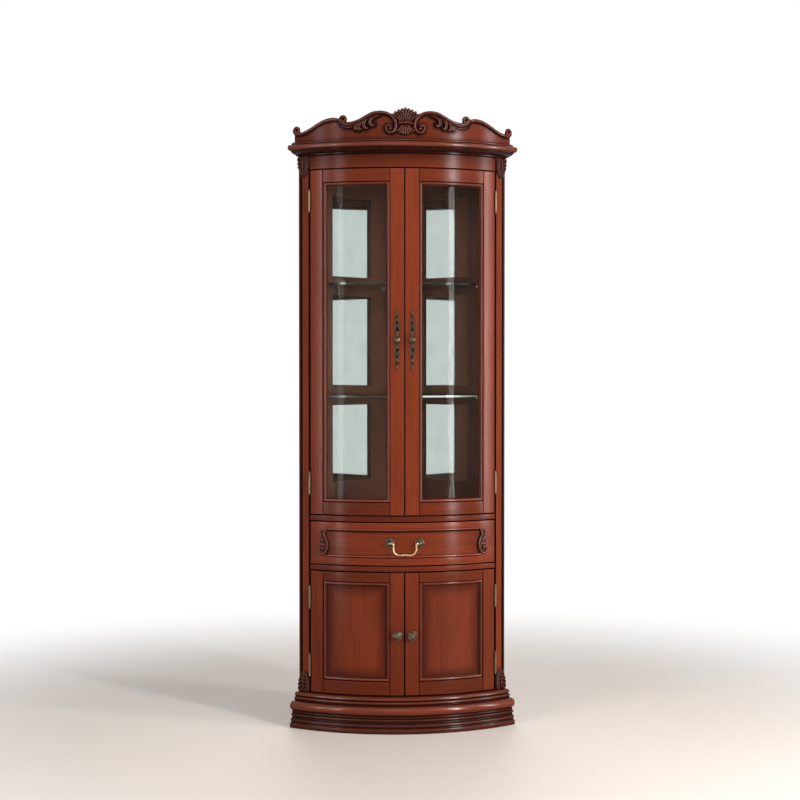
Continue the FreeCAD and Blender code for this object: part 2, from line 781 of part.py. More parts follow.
def make_leaf(label, foot, side, spans):
    """A hinge leaf with knuckles at the given spans, on the post (side 1) or on the door (side -1)."""
    body = hinge_body(label, foot)
    outer = leaf_seat * side
    inner = outer - size("leaf_thickness") * side
    near, far = (inner, outer) if side > 0 else (outer, inner)
    add_plate(body, near, far, face_depth, as_size(0), size("barrel_length"))
    for bottom, height in spans:
        add_knuckle(body, near, far, bottom, height)
    bore = size("pin_radius") + size("pin_clearance")
    add_cut_through(body, draw_circle(body, "XY_Plane", (0, 0), bore))
    return body


def make_pin(label, foot):
    """A hinge pin with a finial at each end."""
    body = hinge_body(label, foot)
    length = size("barrel_length")
    tip = size("pin_tip_height")
    wide = size("pin_tip_radius")
    pin = size("pin_radius")
    dome = cap(wide, tip / 2)
    profile = [
        (0, -tip),
        (wide, -(tip / 2), dome, "left"),
        (pin, 0),
        (pin, length),
        (wide, length + tip / 2),
        (0, length + tip, dome, "left"),
    ]
    turning = body.newObject("PartDesign::Revolution", f"{label}_turned")
    turning.Profile = draw(body, "XZ_Plane", profile)
    turning.ReferenceAxis = (turning.Profile[0], ["V_Axis"])
    return body


def make_hinges():
    """Two hinges for each door: leaf and pin stay on the post, the other leaf goes with the door."""
    length = size("barrel_length")
    third = length / 3
    gap = size("knuckle_gap")
    post_spans = [(as_size(0), third), (length - third, third)]
    door_spans = [(third + gap, third - gap * 2)]
    levels = {
        "upper": (upper_door_z, upper_door_top, size("upper_hinge_inset")),
        "lower": (lower_door_z, lower_door_top, size("lower_hinge_inset")),
    }
    post_leaves = []
    pins = []
    for pair, (bottom, top, inset) in levels.items():
        door_leaves = []
        for rank, middle in enumerate((bottom + inset, top - inset), start=1):
            foot = middle - length / 2
            post_leaves.append(make_leaf(f"{pair}_post_leaf_{rank}", foot, 1, post_spans))
            door_leaves.append(make_leaf(f"{pair}_door_leaf_{rank}", foot, -1, door_spans))
            pins.append(make_pin(f"{pair}_pin_{rank}", foot))
        both_sides(pair + "_{}_door_hinge_leaves", group(f"{pair}_door_leaves", door_leaves))
    left_leaves = [mirror_of(f"left_{leaf.Name}", leaf) for leaf in post_leaves]
    keep(group("hinge_post_leaves", post_leaves + left_leaves))
    left_pins = [mirror_of(f"left_{pin.Name}", pin) for pin in pins]
    keep(group("hinge_pins", pins + left_pins))


# Handles on the seam stiles
handle_angle = seam_edge + stile_angle / 2


def stile_body(label, radius, level):
    """A body on the face of the seam stile, with -Y pointing out of the door."""
    spot = polar(handle_angle, radius)
    return new_body(label, spot[0], bow_y + spot[1], level, handle_angle)


def add_turned(body, profile):
    """A turned part about the line that points out of the door. A corner is (radius, reach)."""
    corners = []
    for corner in profile:
        ending = () if len(corner) == 2 else (corner[2], FLIPPED[corner[3]])
        corners.append((corner[0], -as_size(corner[1])) + ending)
    turning = body.newObject("PartDesign::Revolution", f"{body.Label}_turned")
    turning.Profile = draw(body, "XY_Plane", corners)
    turning.ReferenceAxis = (turning.Profile[0], ["V_Axis"])
    return turning


def knob_profile(radius, reach):
    """A stem that swells to a round knob."""
    stem = size("knob_stem_radius")
    stem_end = size("knob_stem_length")
    widest = (stem_end + reach) / 2
    return [
        (0, 0),
        (stem, 0),
        (stem, stem_end),
        (radius, widest, cap(widest - stem_end, radius - stem), "left"),
        (0, reach, cap(radius, reach - widest), "left"),
    ]


def make_handles():
    """A tall plate with a knob on each glazed door, and a round knob on each cupboard door."""
    level = upper_door_z + size("handle_rise")
    plate = stile_body("right_handle_plate", bow_radius + seat_gap / 2, level)
    tip = size("handle_plate_length") / 2
    lobe = size("handle_plate_width") / 2
    neck = size("handle_plate_neck") / 2
    lobe_rise = size("handle_lobe_rise")
    neck_rise = size("handle_neck_rise")
    right_half = [
        (0, -tip),
        (lobe, -lobe_rise),
        (neck, -neck_rise),
        (lobe, 0),
        (neck, neck_rise),
        (lobe, lobe_rise),
    ]
    left_half = [(0, tip)] + [(-x, z) for x, z in reversed(right_half[1:])]
    add_pad(plate, draw(plate, "XZ_Plane", right_half + left_half), size("handle_plate_thickness"))
    both_sides("upper_{}_door_handle_plate", plate)
    knob_seat = bow_radius + seat_gap / 2 + size("handle_plate_thickness")
    knob = stile_body("right_handle_knob", knob_seat, level)
    add_turned(knob, knob_profile(size("handle_knob_radius"), size("handle_knob_reach")))
    both_sides("upper_{}_door_handle_knob", knob)
    low_level = lower_door_z + size("lower_knob_rise")
    low_knob = stile_body("right_lower_knob", bow_radius + seat_gap / 2, low_level)
    add_turned(low_knob, knob_profile(size("lower_knob_radius"), size("lower_knob_reach")))
    both_sides("lower_{}_door_knob", low_knob)


# Drawer
box_half = size("drawer_half_width")
box_inner = box_half - size("drawer_side_thickness")
box_z = drawer_z + size("drawer_box_rise")
box_rear = corner_offset + panel_thickness * ROOT_TWO + box_half + size("drawer_back_clearance")
front_seat = rear_face - seat_gap
slide_gap = size("slide_gap")


def reach_at(radius, across):
    """How far forward of the bow axis an arc lies at a distance from the middle plane."""
    return root(radius * radius - across * across)


def make_drawer():
    """Bowed front with a sunk field, and a plain box behind it."""
    front = bowed("drawer_front", slab(rear_face, bow_radius, drawer_z, drawer_top), 0, door_edge * 2)
    sunk = bow_radius - size("field_depth")
    field_z = drawer_z + size("field_bottom_margin")
    field_top = drawer_top - size("field_top_margin")
    groove = front.newObject("PartDesign::Groove", "drawer_field")
    groove.Profile = draw(front, "YZ_Plane", bow_profile(slab(sunk, bow_radius * 2, field_z, field_top)))
    groove.ReferenceAxis = (groove.Profile[0], ["V_Axis"])
    groove.Midplane = True
    groove.setExpression("Angle", (size("field_half_angle") * 2).text)
    keep(front)
    side = board(
        "right_drawer_side",
        [
            (box_inner, -box_rear),
            (box_inner, -reach_at(front_seat, box_inner)),
            (box_half, -reach_at(front_seat, box_half), front_seat, "left"),
            (box_half, -box_rear),
        ],
        box_z,
        size("drawer_box_height"),
    )
    keep(group("drawer_sides", [side, mirror_of("left_drawer_side", side)]))
    floor_z = box_z + size("drawer_bottom_rise")
    floor_end = -reach_at(front_seat, box_inner)
    keep(
        board(
            "drawer_bottom",
            [
                (-box_inner, -box_rear),
                (-box_inner, floor_end),
                (box_inner, floor_end, front_seat, "left"),
                (box_inner, -box_rear),
            ],
            floor_z,
            size("drawer_bottom_thickness"),
        )
    )
    back_front = -(box_rear + size("drawer_back_thickness"))
    back_z = floor_z + size("drawer_bottom_thickness")
    keep(
        board(
            "drawer_back",
            [
                (-box_inner, back_front),
                (box_inner, back_front),
                (box_inner, -box_rear),
                (-box_inner, -box_rear),
            ],
            back_z,
            box_z + size("drawer_box_height") - back_z,
        )
    )


def make_runners():
    """A runner with a guide under each drawer side, on the dust board."""
    guide_in = box_half + slide_gap
    guide_out = guide_in + size("runner_lip")
    runner_in = guide_in - size("runner_width")
    runner_front = -(reach_at(front_seat, guide_out) - size("runner_front_gap"))
    body = new_body("right_runner", north=bow_y - box_rear)
    rest = box_z - slide_gap
    section = [
        (runner_in, divider_top),
        (guide_out, divider_top),
        (guide_out, rest + size("runner_lip_height")),
        (guide_in, rest + size("runner_lip_height")),
        (guide_in, rest),
        (runner_in, rest),
    ]
    add_pad(body, draw(body, "XZ_Plane", section), -(runner_front + box_rear))
    keep(group("drawer_runners", [body, mirror_of("left_runner", body)]))


# Drawer handle
pivot_z = (drawer_z + size("field_bottom_margin") + drawer_top - size("field_top_margin")) / 2
pivot_y = bow_y - bow_radius - size("bail_stand_off")


def make_rosettes():
    """A rosette with a stud on each side of the bail, hollowed behind to sit on the bow."""
    seat_radius = bow_radius - size("field_depth") + seat_gap / 2
    span = size("bail_half_span")
    ball = size("stud_ball_radius")
    depth = size("bail_stand_off") + size("field_depth")
    sink = seat_radius - reach_at(seat_radius, span + size("rosette_radius"))
    body = new_body("right_rosette_blank", span, pivot_y, pivot_z)
    stud = size("stud_radius")
    ball_foot = root(ball * ball - stud * stud)
    rim = depth - size("rosette_thickness")
    rosette = size("rosette_radius")
    profile = [
        (0, -(depth + sink)),
        (rosette, -(depth + sink)),
        (rosette, -rim),
        (stud, -rim),
        (stud, -ball_foot),
        (ball, 0, ball, "left"),
        (0, ball, ball, "left"),
    ]
    add_turned(body, profile)
    bore = size("bail_rod_radius") + size("bail_clearance")
    add_cut_through(body, draw_circle(body, "YZ_Plane", (0, 0), bore))
    bow = doc.addObject("Part::Cylinder", "rosette_seat")
    bow.setExpression("Radius", seat_radius.text)
    bow.setExpression("Height", cornice_top.text)
    place(bow, 0, bow_y, 0, 0)
    seated = doc.addObject("Part::Cut", "right_rosette")
    seated.Base = body
    seated.Tool = bow
    keep(group("drawer_rosettes", [seated, mirror_of("left_rosette", seated)]))


def bend(before, corner, after, radius):
    """The two tangent points and the middle of a rounded corner."""
    into = (before - corner).normalize()
    out = (after - corner).normalize()
    half = into.getAngle(out) / 2
    reach = radius / math.tan(half)
    inward = (into + out).normalize()
    return corner + into * reach, corner + inward * (radius / math.sin(half) - radius), corner + out * reach


def make_bail():
    """A bent rod that hangs from the two studs."""
    half = size("bail_half_width").value
    end = size("bail_half_span").value
    foot = -size("bail_drop").value
    centre = Vector(0, pivot_y.value, pivot_z.value)
    knees = [
        (Vector(-half, 0, 0), size("bail_shoulder").value),
        (Vector(-half, 0, foot), size("bail_corner").value),
        (Vector(half, 0, foot), size("bail_corner").value),
        (Vector(half, 0, 0), size("bail_shoulder").value),
    ]
    stops = [Vector(-end, 0, 0)] + [knee for knee, radius in knees] + [Vector(end, 0, 0)]
    edges = []
    last = stops[0]
    for index, (knee, radius) in enumerate(knees, start=1):
        first, middle, after = bend(stops[index - 1], knee, stops[index + 1], radius)
        edges.append(Part.makeLine(centre + last, centre + first))
        edges.append(Part.Arc(centre + first, centre + middle, centre + after).toShape())
        last = after
    edges.append(Part.makeLine(centre + last, centre + stops[-1]))
    section = Part.Wire(Part.makeCircle(size("bail_rod_radius").value, centre + stops[0], Vector(1, 0, 0)))
    rod = doc.addObject("Part::Feature", "bail_handle")
    rod.Shape = Part.Wire(edges).makePipeShell([section], True, False)
    keep(rod)


# Mirrors and shelves in the display
frame_inset = panel_thickness + size("mirror_frame_thickness")
mirror_rail = size("mirror_rail")
windows = []
window_z = waist_top + size("mirror_base")
all_windows = frieze_z - size("mirror_head") - mirror_rail * 2 - window_z
lower_share = size("lower_mirror_share")
middle_share = size("middle_mirror_share")
for share in (lower_share, middle_share, 1 - lower_share - middle_share):
    windows.append((window_z, all_windows * share))
    window_z = window_z + all_windows * share + mirror_rail


def wall_block(label, start, run, inset, thickness, bottom, height):
    """A flat block that lies along the right wall."""
    corners = [
        along_wall(start, inset),
        along_wall(start + run, inset),
        along_wall(start + run, inset + thickness),
        along_wall(start, inset + thickness),
    ]
    return board(label, corners, bottom, height)


def make_mirrors():
    """A frame with three windows on each wall, and a mirror in each window."""
    depth = size("mirror_frame_thickness")
    start = size("mirror_start")
    room = size("pane_clearance")
    run = panel_run - corner_leg
    height = frieze_z - waist_top
    frame = wall_block("right_frame_blank", corner_leg, run, panel_thickness, depth, waist_top, height)
    cuts = []
    mirrors = []
    for rank, (bottom, height) in enumerate(windows, start=1):
        width = size("mirror_width")
        cuts.append(wall_block(f"right_window_{rank}", start, width, panel_thickness, depth, bottom, height))
        mirrors.append(
            wall_block(
                f"right_mirror_{rank}",
                start + room,
                width - room * 2,
                panel_thickness,
                size("mirror_thickness"),
                bottom + room,
                height - room * 2,
            )
        )
    pierced = doc.addObject("Part::Cut", "right_pierced_frame")
    pierced.Base = frame
    pierced.Tool = joined("right_windows", cuts)
    both_sides("{}_mirror_frame", pierced)
    both_sides("{}_mirror_panes", group("right_mirrors", mirrors))


def make_shelves():
    """Two glass shelves level with the rails between the mirrors, on pins in those rails."""
    radius = rear_face - size("shelf_front_gap")
    room = size("shelf_wall_gap")
    inset = frame_inset + room
    post_inset = -(post_rear[0] + post_rear[1] + corner_offset) / ROOT_TWO
    right_half = [
        along_wall(corner_leg, inset),
        along_wall(panel_run - room, inset),
        along_wall(panel_run - room, post_inset + room),
        polar(opening_angle - arc_angle(room), radius),
    ]
    left_half = mirrored(right_half)
    outline = right_half + [left_half[0] + (radius, "right")] + left_half[1:]
    pins = []
    for name, (bottom, height) in zip(("lower", "upper"), windows[:2]):
        shelf_z = bottom + height + mirror_rail / 2 - size("shelf_thickness") / 2
        keep(board(f"{name}_glass_shelf", outline, shelf_z, size("shelf_thickness")))
        for rank, run in enumerate((size("shelf_pin_start"), panel_run - size("shelf_pin_margin"))):
            spot = along_wall(run, frame_inset + size("shelf_pin_length"))
            level = shelf_z - size("shelf_pin_radius") - seat_gap / 2
            pin = new_body(f"right_{name}_pin_{rank}", spot[0], bow_y + spot[1], level, INTO_RIGHT_WALL)
            round_end = draw_circle(pin, "XZ_Plane", (0, 0), size("shelf_pin_radius"))
            add_pad(pin, round_end, size("shelf_pin_length"))
            pins.append(pin)
    keep(group("shelf_pins", pins + [mirror_of(f"left_{pin.Name}", pin) for pin in pins]))


def make_catches():
    """A catch for each pair of doors, under the board above them."""
    width = size("catch_width")
    front = reach_at(rear_face, width / 2) - size("catch_gap")
    corners = [
        (-width / 2, -front),
        (width / 2, -front),
        (width / 2, size("catch_depth") - front),
        (-width / 2, size("catch_depth") - front),
    ]
    height = size("catch_height")
    levels = {"upper": frieze_z, "lower": divider_z}
    catches = [board(f"{pair}_catch", corners, level - height, height) for pair, level in levels.items()]
    keep(group("door_catches", catches))


# Carved work
def make_post_carvings():
    """Brackets at the head and foot of both front posts, thick at the cornice and plinth."""
    height = size("carving_height")
    inner = bow_radius + seat_gap / 2
    outer = bow_radius + size("carving_reach")
    lip = size("carving_lip")
    foot = bow_radius + size("carving_foot")
    head = [
        (inner, cornice_z - height),
        (foot, cornice_z - height),
        (outer, cornice_z - lip),
        (outer, cornice_z),
        (inner, cornice_z),
    ]
    base = [
        (inner, plinth_top),
        (outer, plinth_top),
        (outer, plinth_top + lip),
        (foot, plinth_top + height),
        (inner, plinth_top + height),
    ]
    first = opening_angle + arc_angle(size("carving_margin"))
    reach = wall_point(bow_radius, as_size(0))[0] - (bow_radius * sine(first))
    last = first + arc_angle(reach / cosine(first)) * 2
    right = []
    for name, profile in (("head", head), ("base", base)):
        blank = bowed_between(f"right_{name}_carving", profile, first, last)
        corners = [
            along_wall(as_size(0), 0),
            along_wall(bow_radius * 2, 0),
            along_wall(bow_radius * 2, -bow_radius),
            along_wall(as_size(0), -bow_radius),
        ]
        waste = board(f"right_{name}_waste", corners, as_size(0), cornice_top)
        trimmed = doc.addObject("Part::Cut", f"right_{name}_bracket")
        trimmed.Base = blank
        trimmed.Tool = waste
        right.append(trimmed)
    keep(group("post_carvings", right + [mirror_of(f"left_{piece.Name}", piece) for piece in right]))


def on_the_bow(face, inner, outer):
    """The part of an outline in front view that lies between two radii and in front of the walls."""
    axis = Vector(0, bow_y.value, 0)
    height = cornice_top.value * 2
    ring = Part.makeCylinder(outer, height, axis).cut(Part.makeCylinder(inner, height, axis))
    reach = front_reach.value * 2
    corner = bow_y.value - corner_offset.value
    room = [Vector(0, corner, 0), Vector(-reach, corner - reach, 0), Vector(reach, corner - reach, 0)]
    wedge = Part.Face(Part.makePolygon(room + room[:1])).extrude(Vector(0, 0, height))
    return face.extrude(Vector(0, -reach, 0)).common(ring).common(wedge)


def front_point(across, rise):
    """A point of the front view, at a distance from the middle and above the cornice."""
    return Vector(across.value, bow_y.value, cornice_top.value + rise.value)


def smooth(points):
    """A smooth edge through points."""
    curve = Part.BSplineCurve()
    curve.interpolate(points)
    return curve.toShape()


def filled(edges):
    """The face inside a closed chain of edges."""
    return Part.Face(Part.Wire(Part.__sortEdges__(edges)))


def flipped(point):
    """The same point on the left side."""
    return Vector(-point.x, point.y, point.z)


crest_face = bow_radius + size("crest_forward")
crest_end = wall_point(crest_face, as_size(0))[0]


def make_crest_board():
    """A bowed board with a waved top edge."""
    right = [
        front_point(as_size(0), size("crest_middle_rise")),
        front_point(crest_end * size("crest_scroll_share"), size("crest_scroll_rise")),
        front_point(crest_end * size("crest_valley_share"), size("crest_valley_rise")),
        front_point(crest_end * size("crest_shoulder_share"), size("crest_shoulder_rise")),
        front_point(crest_end * size("crest_dip_share"), size("crest_dip_rise")),
        front_point(crest_end, size("crest_end_rise")),
    ]
    outline = [flipped(point) for point in reversed(right[1:])] + right
    foot = [front_point(crest_end, as_size(0)), front_point(-crest_end, as_size(0))]
    edges = [
        smooth(outline),
        Part.makeLine(outline[-1], foot[0]),
        Part.makeLine(foot[0], foot[1]),
        Part.makeLine(foot[1], outline[0]),
    ]
    crest = doc.addObject("Part::Feature", "crest_board")
    crest_back = crest_face - size("crest_thickness")
    crest.Shape = on_the_bow(filled(edges), crest_back.value, crest_face.value)
    keep(crest)


def relief(label, faces):
    """Carving on the face of the crest board."""
    inner = crest_face.value + seat_gap.value / 2
    outer = crest_face.value + size("relief_depth").value
    solids = [on_the_bow(face, inner, outer) for face in faces]
    carving = doc.addObject("Part::Feature", label)
    carving.Shape = solids[0].multiFuse(solids[1:]) if len(solids) > 1 else solids[0]
    return carving


def make_crest_carving():
    """The shell in the middle, and a scroll with its volute on each side."""
    right = [
        front_point(as_size(0), size("shell_rise")),
        front_point(size("shell_half_width"), size("shell_shoulder_rise")),
        front_point(size("shell_waist_half"), size("shell_waist_rise")),
        front_point(size("shell_foot_half"), size("shell_foot_rise")),
        front_point(as_size(0), size("shell_base_rise")),
    ]
    half = smooth(right)
    other = smooth([flipped(point) for point in right])
    keep(relief("crest_shell", [filled([half, other])]))
    width = size("scroll_width")
    eye_x = crest_end * size("volute_share")
    eye_rise = size("volute_rise")
    ring = size("volute_radius")
    outer = [
        front_point(eye_x - ring, eye_rise),
        front_point(crest_end * size("crest_scroll_share"), size("scroll_peak_rise")),
        front_point(crest_end * size("scroll_bend_share"), size("scroll_bend_rise")),
        front_point(crest_end * size("scroll_tail_share"), size("scroll_tail_rise")),
    ]
    tail_foot = size("scroll_tail_rise") - size("scroll_tail_width")
    inner = [
        front_point(crest_end * size("scroll_tail_share"), tail_foot),
        front_point(crest_end * size("scroll_bend_share"), size("scroll_bend_rise") - width),
        front_point(crest_end * size("crest_scroll_share"), size("scroll_peak_rise") - width),
        front_point(eye_x, eye_rise),
    ]
    edges = [
        smooth(outer),
        Part.makeLine(outer[-1], inner[0]),
        smooth(inner),
        Part.makeLine(inner[-1], outer[0]),
    ]
    eye = Part.Wire(Part.makeCircle(ring.value, front_point(eye_x, eye_rise), Vector(0, -1, 0)))
    both_sides("{}_crest_scroll", relief("crest_scroll", [filled(edges), Part.Face(eye)]))


make_plinth()
make_walls()
make_boards()
make_head()
make_upper_doors()
make_lower_doors()
make_hinges()
make_handles()
make_drawer()
make_runners()
make_rosettes()
make_bail()
make_mirrors()
make_shelves()
make_catches()
make_post_carvings()
make_crest_board()
make_crest_carving()
doc.recompute()

for item in doc.Objects:
    if "Invalid" in item.State or "Error" in item.State:
        raise RuntimeError(f"{item.Label} failed: {item.State}")
for node in nodes:
    if node.Shape.isNull() or not node.Shape.isValid() or not node.Shape.Solids:
        raise RuntimeError(f"{node.Label} has no valid solid")

os.makedirs("parts", exist_ok=True)
for node in nodes:
    node.Shape.exportStep(f"parts/{node.Label}.step")
    print(f"{node.Label}: {len(node.Shape.Solids)} solid(s), {node.Shape.Volume / 1000:.1f} cm3")
print(f"{len(nodes)} sub-parts")
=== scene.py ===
# %% [markdown]
# # A bowed corner cabinet in carved mahogany
#
# The cabinet stands in the corner of a room. Two flat backs lie against the walls, and the front bows
# out between two posts: a cupboard below, a drawer in the middle and a glazed case on top.
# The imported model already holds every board, pane and hinge at its exact place, so it is loaded first
# and stays as it is. What follows dresses it with finer shapes, finishes, light and a camera.

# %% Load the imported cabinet
import json
import math

import bmesh
import bpy
import numpy as np
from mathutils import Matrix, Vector

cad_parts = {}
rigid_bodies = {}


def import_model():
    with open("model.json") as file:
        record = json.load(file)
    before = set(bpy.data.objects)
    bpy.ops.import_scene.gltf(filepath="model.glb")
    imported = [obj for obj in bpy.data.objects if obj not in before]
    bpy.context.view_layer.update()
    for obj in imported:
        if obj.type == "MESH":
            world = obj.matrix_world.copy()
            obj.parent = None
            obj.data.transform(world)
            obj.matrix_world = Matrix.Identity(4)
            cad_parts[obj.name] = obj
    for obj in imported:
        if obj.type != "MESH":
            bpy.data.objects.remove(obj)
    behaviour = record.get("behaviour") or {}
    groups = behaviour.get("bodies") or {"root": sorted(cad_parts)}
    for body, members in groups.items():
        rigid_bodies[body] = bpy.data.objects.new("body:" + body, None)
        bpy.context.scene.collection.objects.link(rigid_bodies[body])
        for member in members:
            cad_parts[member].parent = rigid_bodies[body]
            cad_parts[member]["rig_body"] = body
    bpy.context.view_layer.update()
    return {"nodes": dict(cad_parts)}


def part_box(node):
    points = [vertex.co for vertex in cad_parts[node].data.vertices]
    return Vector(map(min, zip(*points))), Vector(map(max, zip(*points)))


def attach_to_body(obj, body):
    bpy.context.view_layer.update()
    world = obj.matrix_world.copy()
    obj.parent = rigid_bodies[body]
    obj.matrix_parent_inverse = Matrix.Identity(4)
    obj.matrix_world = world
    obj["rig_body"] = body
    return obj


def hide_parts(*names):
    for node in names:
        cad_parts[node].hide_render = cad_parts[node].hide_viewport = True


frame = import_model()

MM = 0.001

# %% [markdown]
# ## The bow
#
# Every board of the front is bent about one upright line behind the cabinet. A carver draws the work
# flat on paper and then wraps the paper round the front. The same is done here: a point is laid out as
# along, up and forward, and one function wraps it round the bow.

# %% Wrap a flat layout round the bow
FACE = 560 * MM
AXIS_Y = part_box("waist_board")[0].y + FACE


def polar(turn, reach, level):
    """Places at a turn in radians about the axis of the bow, a distance from it and a level."""
    turn, reach, level = np.broadcast_arrays(turn, reach, level)
    return np.stack([reach * np.sin(turn), AXIS_Y - reach * np.cos(turn), level], axis=-1)


def wrapped(along, up, forward, radius=FACE):
    """Places of points laid out flat, in metres, on a bow of this radius."""
    return polar(np.asarray(along) / radius, radius + np.asarray(forward), up)


print("the bow turns about x = 0, y =", round(AXIS_Y, 4))

# %% [markdown]
# ## Colours and nodes
#
# Colours are written as sRGB hex values, as a paint card would give them. Blender mixes light in linear
# values, so one function turns a hex value to linear. The others add a node to a tree and link what is a
# socket, so that a tree reads from its first value to its last. They serve every tree that follows.

# %% A colour and a node


def linear(code):
    """A hex colour as linear red, green, blue and alpha."""
    parts = [int(code[place:place + 2], 16) / 255 for place in (1, 3, 5)]
    return [c / 12.92 if c <= 0.04045 else ((c + 0.055) / 1.055) ** 2.4 for c in parts] + [1.0]


def add(tree, kind, sockets=None, **settings):
    """Adds a node, with a value or a link for each named socket, and gives its outputs."""
    node = tree.nodes.new(kind)
    for name, value in settings.items():
        setattr(node, name, value)
    for name, value in (sockets or {}).items():
        if isinstance(value, bpy.types.NodeSocket):
            tree.links.new(value, node.inputs[name])
        else:
            node.inputs[name].default_value = value
    return node.outputs


print("mahogany mid tone in linear values:", [round(v, 3) for v in linear("#7d3822")])

# %% Nodes that many trees need


def maths(tree, operation, *values):
    """The result of an operation on one or two values."""
    return add(tree, "ShaderNodeMath", dict(enumerate(values)), operation=operation)[0]


def ranged(tree, value, low, high, first=0.0, last=1.0):
    """A value carried from one range to another."""
    ends = {"From Min": low, "From Max": high, "To Min": first, "To Max": last}
    return add(tree, "ShaderNodeMapRange", {"Value": value, **ends})[0]


def blended(tree, share, first, last):
    """A colour between two colours."""
    return add(tree, "ShaderNodeMix", {"Factor": share, 6: first, 7: last}, data_type="RGBA")[2]


def noise(tree, spot, size, **sockets):
    """Noise with patches of this size in metres."""
    return add(tree, "ShaderNodeTexNoise", {"Vector": spot, "Scale": 1 / size, **sockets})[0]


def bumped(tree, height, strength, depth, **settings):
    """The direction of a surface that a height makes uneven."""
    sockets = {"Height": height, "Strength": strength, "Distance": depth}
    return add(tree, "ShaderNodeBump", sockets, **settings)[0]


def in_recess(tree, reach, open_from, amount):
    """This amount in deep corners and nothing in the open."""
    corner = add(tree, "ShaderNodeAmbientOcclusion", {"Distance": reach}, samples=6)
    return ranged(tree, corner["AO"], 0.3, open_from, amount, 0.0)


def object_spot(tree):
    """The place of a point, in metres."""
    return add(tree, "ShaderNodeTexCoord")["Object"]


helpers = (maths, ranged, blended, noise, bumped, in_recess, object_spot)
print("node helpers:", [helper.__name__ for helper in helpers])

# %% The start and end of a material


def new_material(name):
    """A new material with nothing in its tree."""
    material = bpy.data.materials.new(name)
    material.use_nodes = True
    material.node_tree.nodes.clear()
    return material, material.node_tree


def end_material(tree, shader):
    """Makes a shader the surface of a material."""
    add(tree, "ShaderNodeOutputMaterial", {"Surface": shader})


def principled(tree, sockets):
    """A Principled surface."""
    return add(tree, "ShaderNodeBsdfPrincipled", sockets)[0]


print("materials that came with the cabinet:", len(bpy.data.materials))

# %% [markdown]
# ## Mahogany, stained and polished
#
# The cabinet is red-brown mahogany, stained, rubbed with a dark glaze, and finished with satin lacquer.
# The eye sees long soft streaks along the grain, short dark pores, broad patches of lighter and darker
# wood, and near-black lines where boards meet, which are partly glaze and partly painted shade. The
# streaks have to run along each board, so the material reads an attribute called grain, which every
# wooden piece carries: distance along the grain, across it and into the board, in metres. A second
# attribute says how much glaze and painted shade lie at each point, on a moulding, beside a carving or
# round a panel. Ambient occlusion finds the corners, and they are painted dark as shade.

# %% How a wood finish is built
STREAK = (160 * MM, 5 * MM, 5 * MM)
PATCH = (420 * MM, 90 * MM, 90 * MM)
# Real pores are 0.2 mm wide. They are drawn at 1.2 mm, because finer ones would not show.
PORE = (16 * MM, 1.2 * MM, 1.2 * MM)


def wood_finish(name, light, dark, glaze, roughness, glaze_and_shade_reach, glaze_and_shade_strength, gloss):
    """Stained wood: streaks, patches and pores along the grain, glaze and painted shade in the corners,
    lacquer on top.
    """
    material, tree = new_material(name)
    grain = add(tree, "ShaderNodeAttribute", attribute_name="grain")["Vector"]
    layers = []
    for size, detail in ((STREAK, 4), (PATCH, 2), (PORE, 2)):
        spread = [1 / length for length in size]
        stretched = add(tree, "ShaderNodeVectorMath", {0: grain, 1: spread}, operation="MULTIPLY")[0]
        layers.append(noise(tree, stretched, 1.0, Detail=detail, Roughness=0.6))
    streak, patch, pore = layers
    stained = blended(tree, ranged(tree, streak, 0.3, 0.7), linear(dark), linear(light))
    shade = ranged(tree, patch, 0.35, 0.65, 0.86, 1.12)
    patched = add(tree, "ShaderNodeVectorMath", {0: stained, 1: shade}, operation="MULTIPLY")[0]
    opened = ranged(tree, pore, 0.58, 0.72, 0.0, 0.42)
    pored = blended(tree, opened, patched, linear(glaze))
    glaze_and_shade = add(tree, "ShaderNodeAttribute", attribute_name="glaze_and_shade")["Fac"]
    # Corners found by ambient occlusion are painted dark as shade, together with the glaze and painted shade
    # that each point carries; less gloss is kept there.
    glaze_and_shade_share = maths(tree, "MAXIMUM", in_recess(tree, glaze_and_shade_reach, 0.92, glaze_and_shade_strength), glaze_and_shade)
    end_material(tree, principled(tree, {
        "Base Color": blended(tree, glaze_and_shade_share, pored, linear(glaze)),
        "Roughness": ranged(tree, streak, 0.3, 0.7, roughness + 0.04, roughness - 0.03),
        "Normal": bumped(tree, opened, 0.15, 0.3 * MM, invert=True),
        "Specular IOR Level": ranged(tree, glaze_and_shade_share, 0.0, 1.0, gloss, 0.25 * gloss)}))
    return material


print("pores are drawn", PORE[1], "m wide")

# %% The wood finishes
polished_mahogany = wood_finish(
    "polished_mahogany", "#752f15", "#632510", "#120605", 0.18, 10 * MM, 0.97, 0.13)
moulded_mahogany = wood_finish(
    "moulded_mahogany", "#7a3218", "#652710", "#120605", 0.15, 6 * MM, 0.97, 0.3)
carved_mahogany = wood_finish(
    "carved_mahogany", "#6a2c18", "#521f0f", "#0e0403", 0.16, 14 * MM, 1.0, 0.26)
stained_inside_wood = wood_finish(
    "stained_inside_wood", "#41281d", "#321c14", "#140a07", 0.42, 14 * MM, 0.7, 0.1)
print("wood finishes:", [m.name for m in bpy.data.materials if m.name.endswith(("mahogany", "wood"))])

# %% [markdown]
# ## Brass, old and new
#
# The knobs and rosettes are cast brass that was darkened and then rubbed bright on the high places, so
# their recesses are near black and their ridges pale. The pierced wires of the handles are browner, over
# a near-black sheet that is painted shade behind them. The drawer pull is rubbed further, to pale gold.
# The hinges are rolled brass with a satin face. All are metal with a mottled tone, and the patina follows
# the corners as the glaze and painted shade of the wood do.

# %% The metal finishes
MOTTLE = 7 * MM
SCRATCH = 1.5 * MM


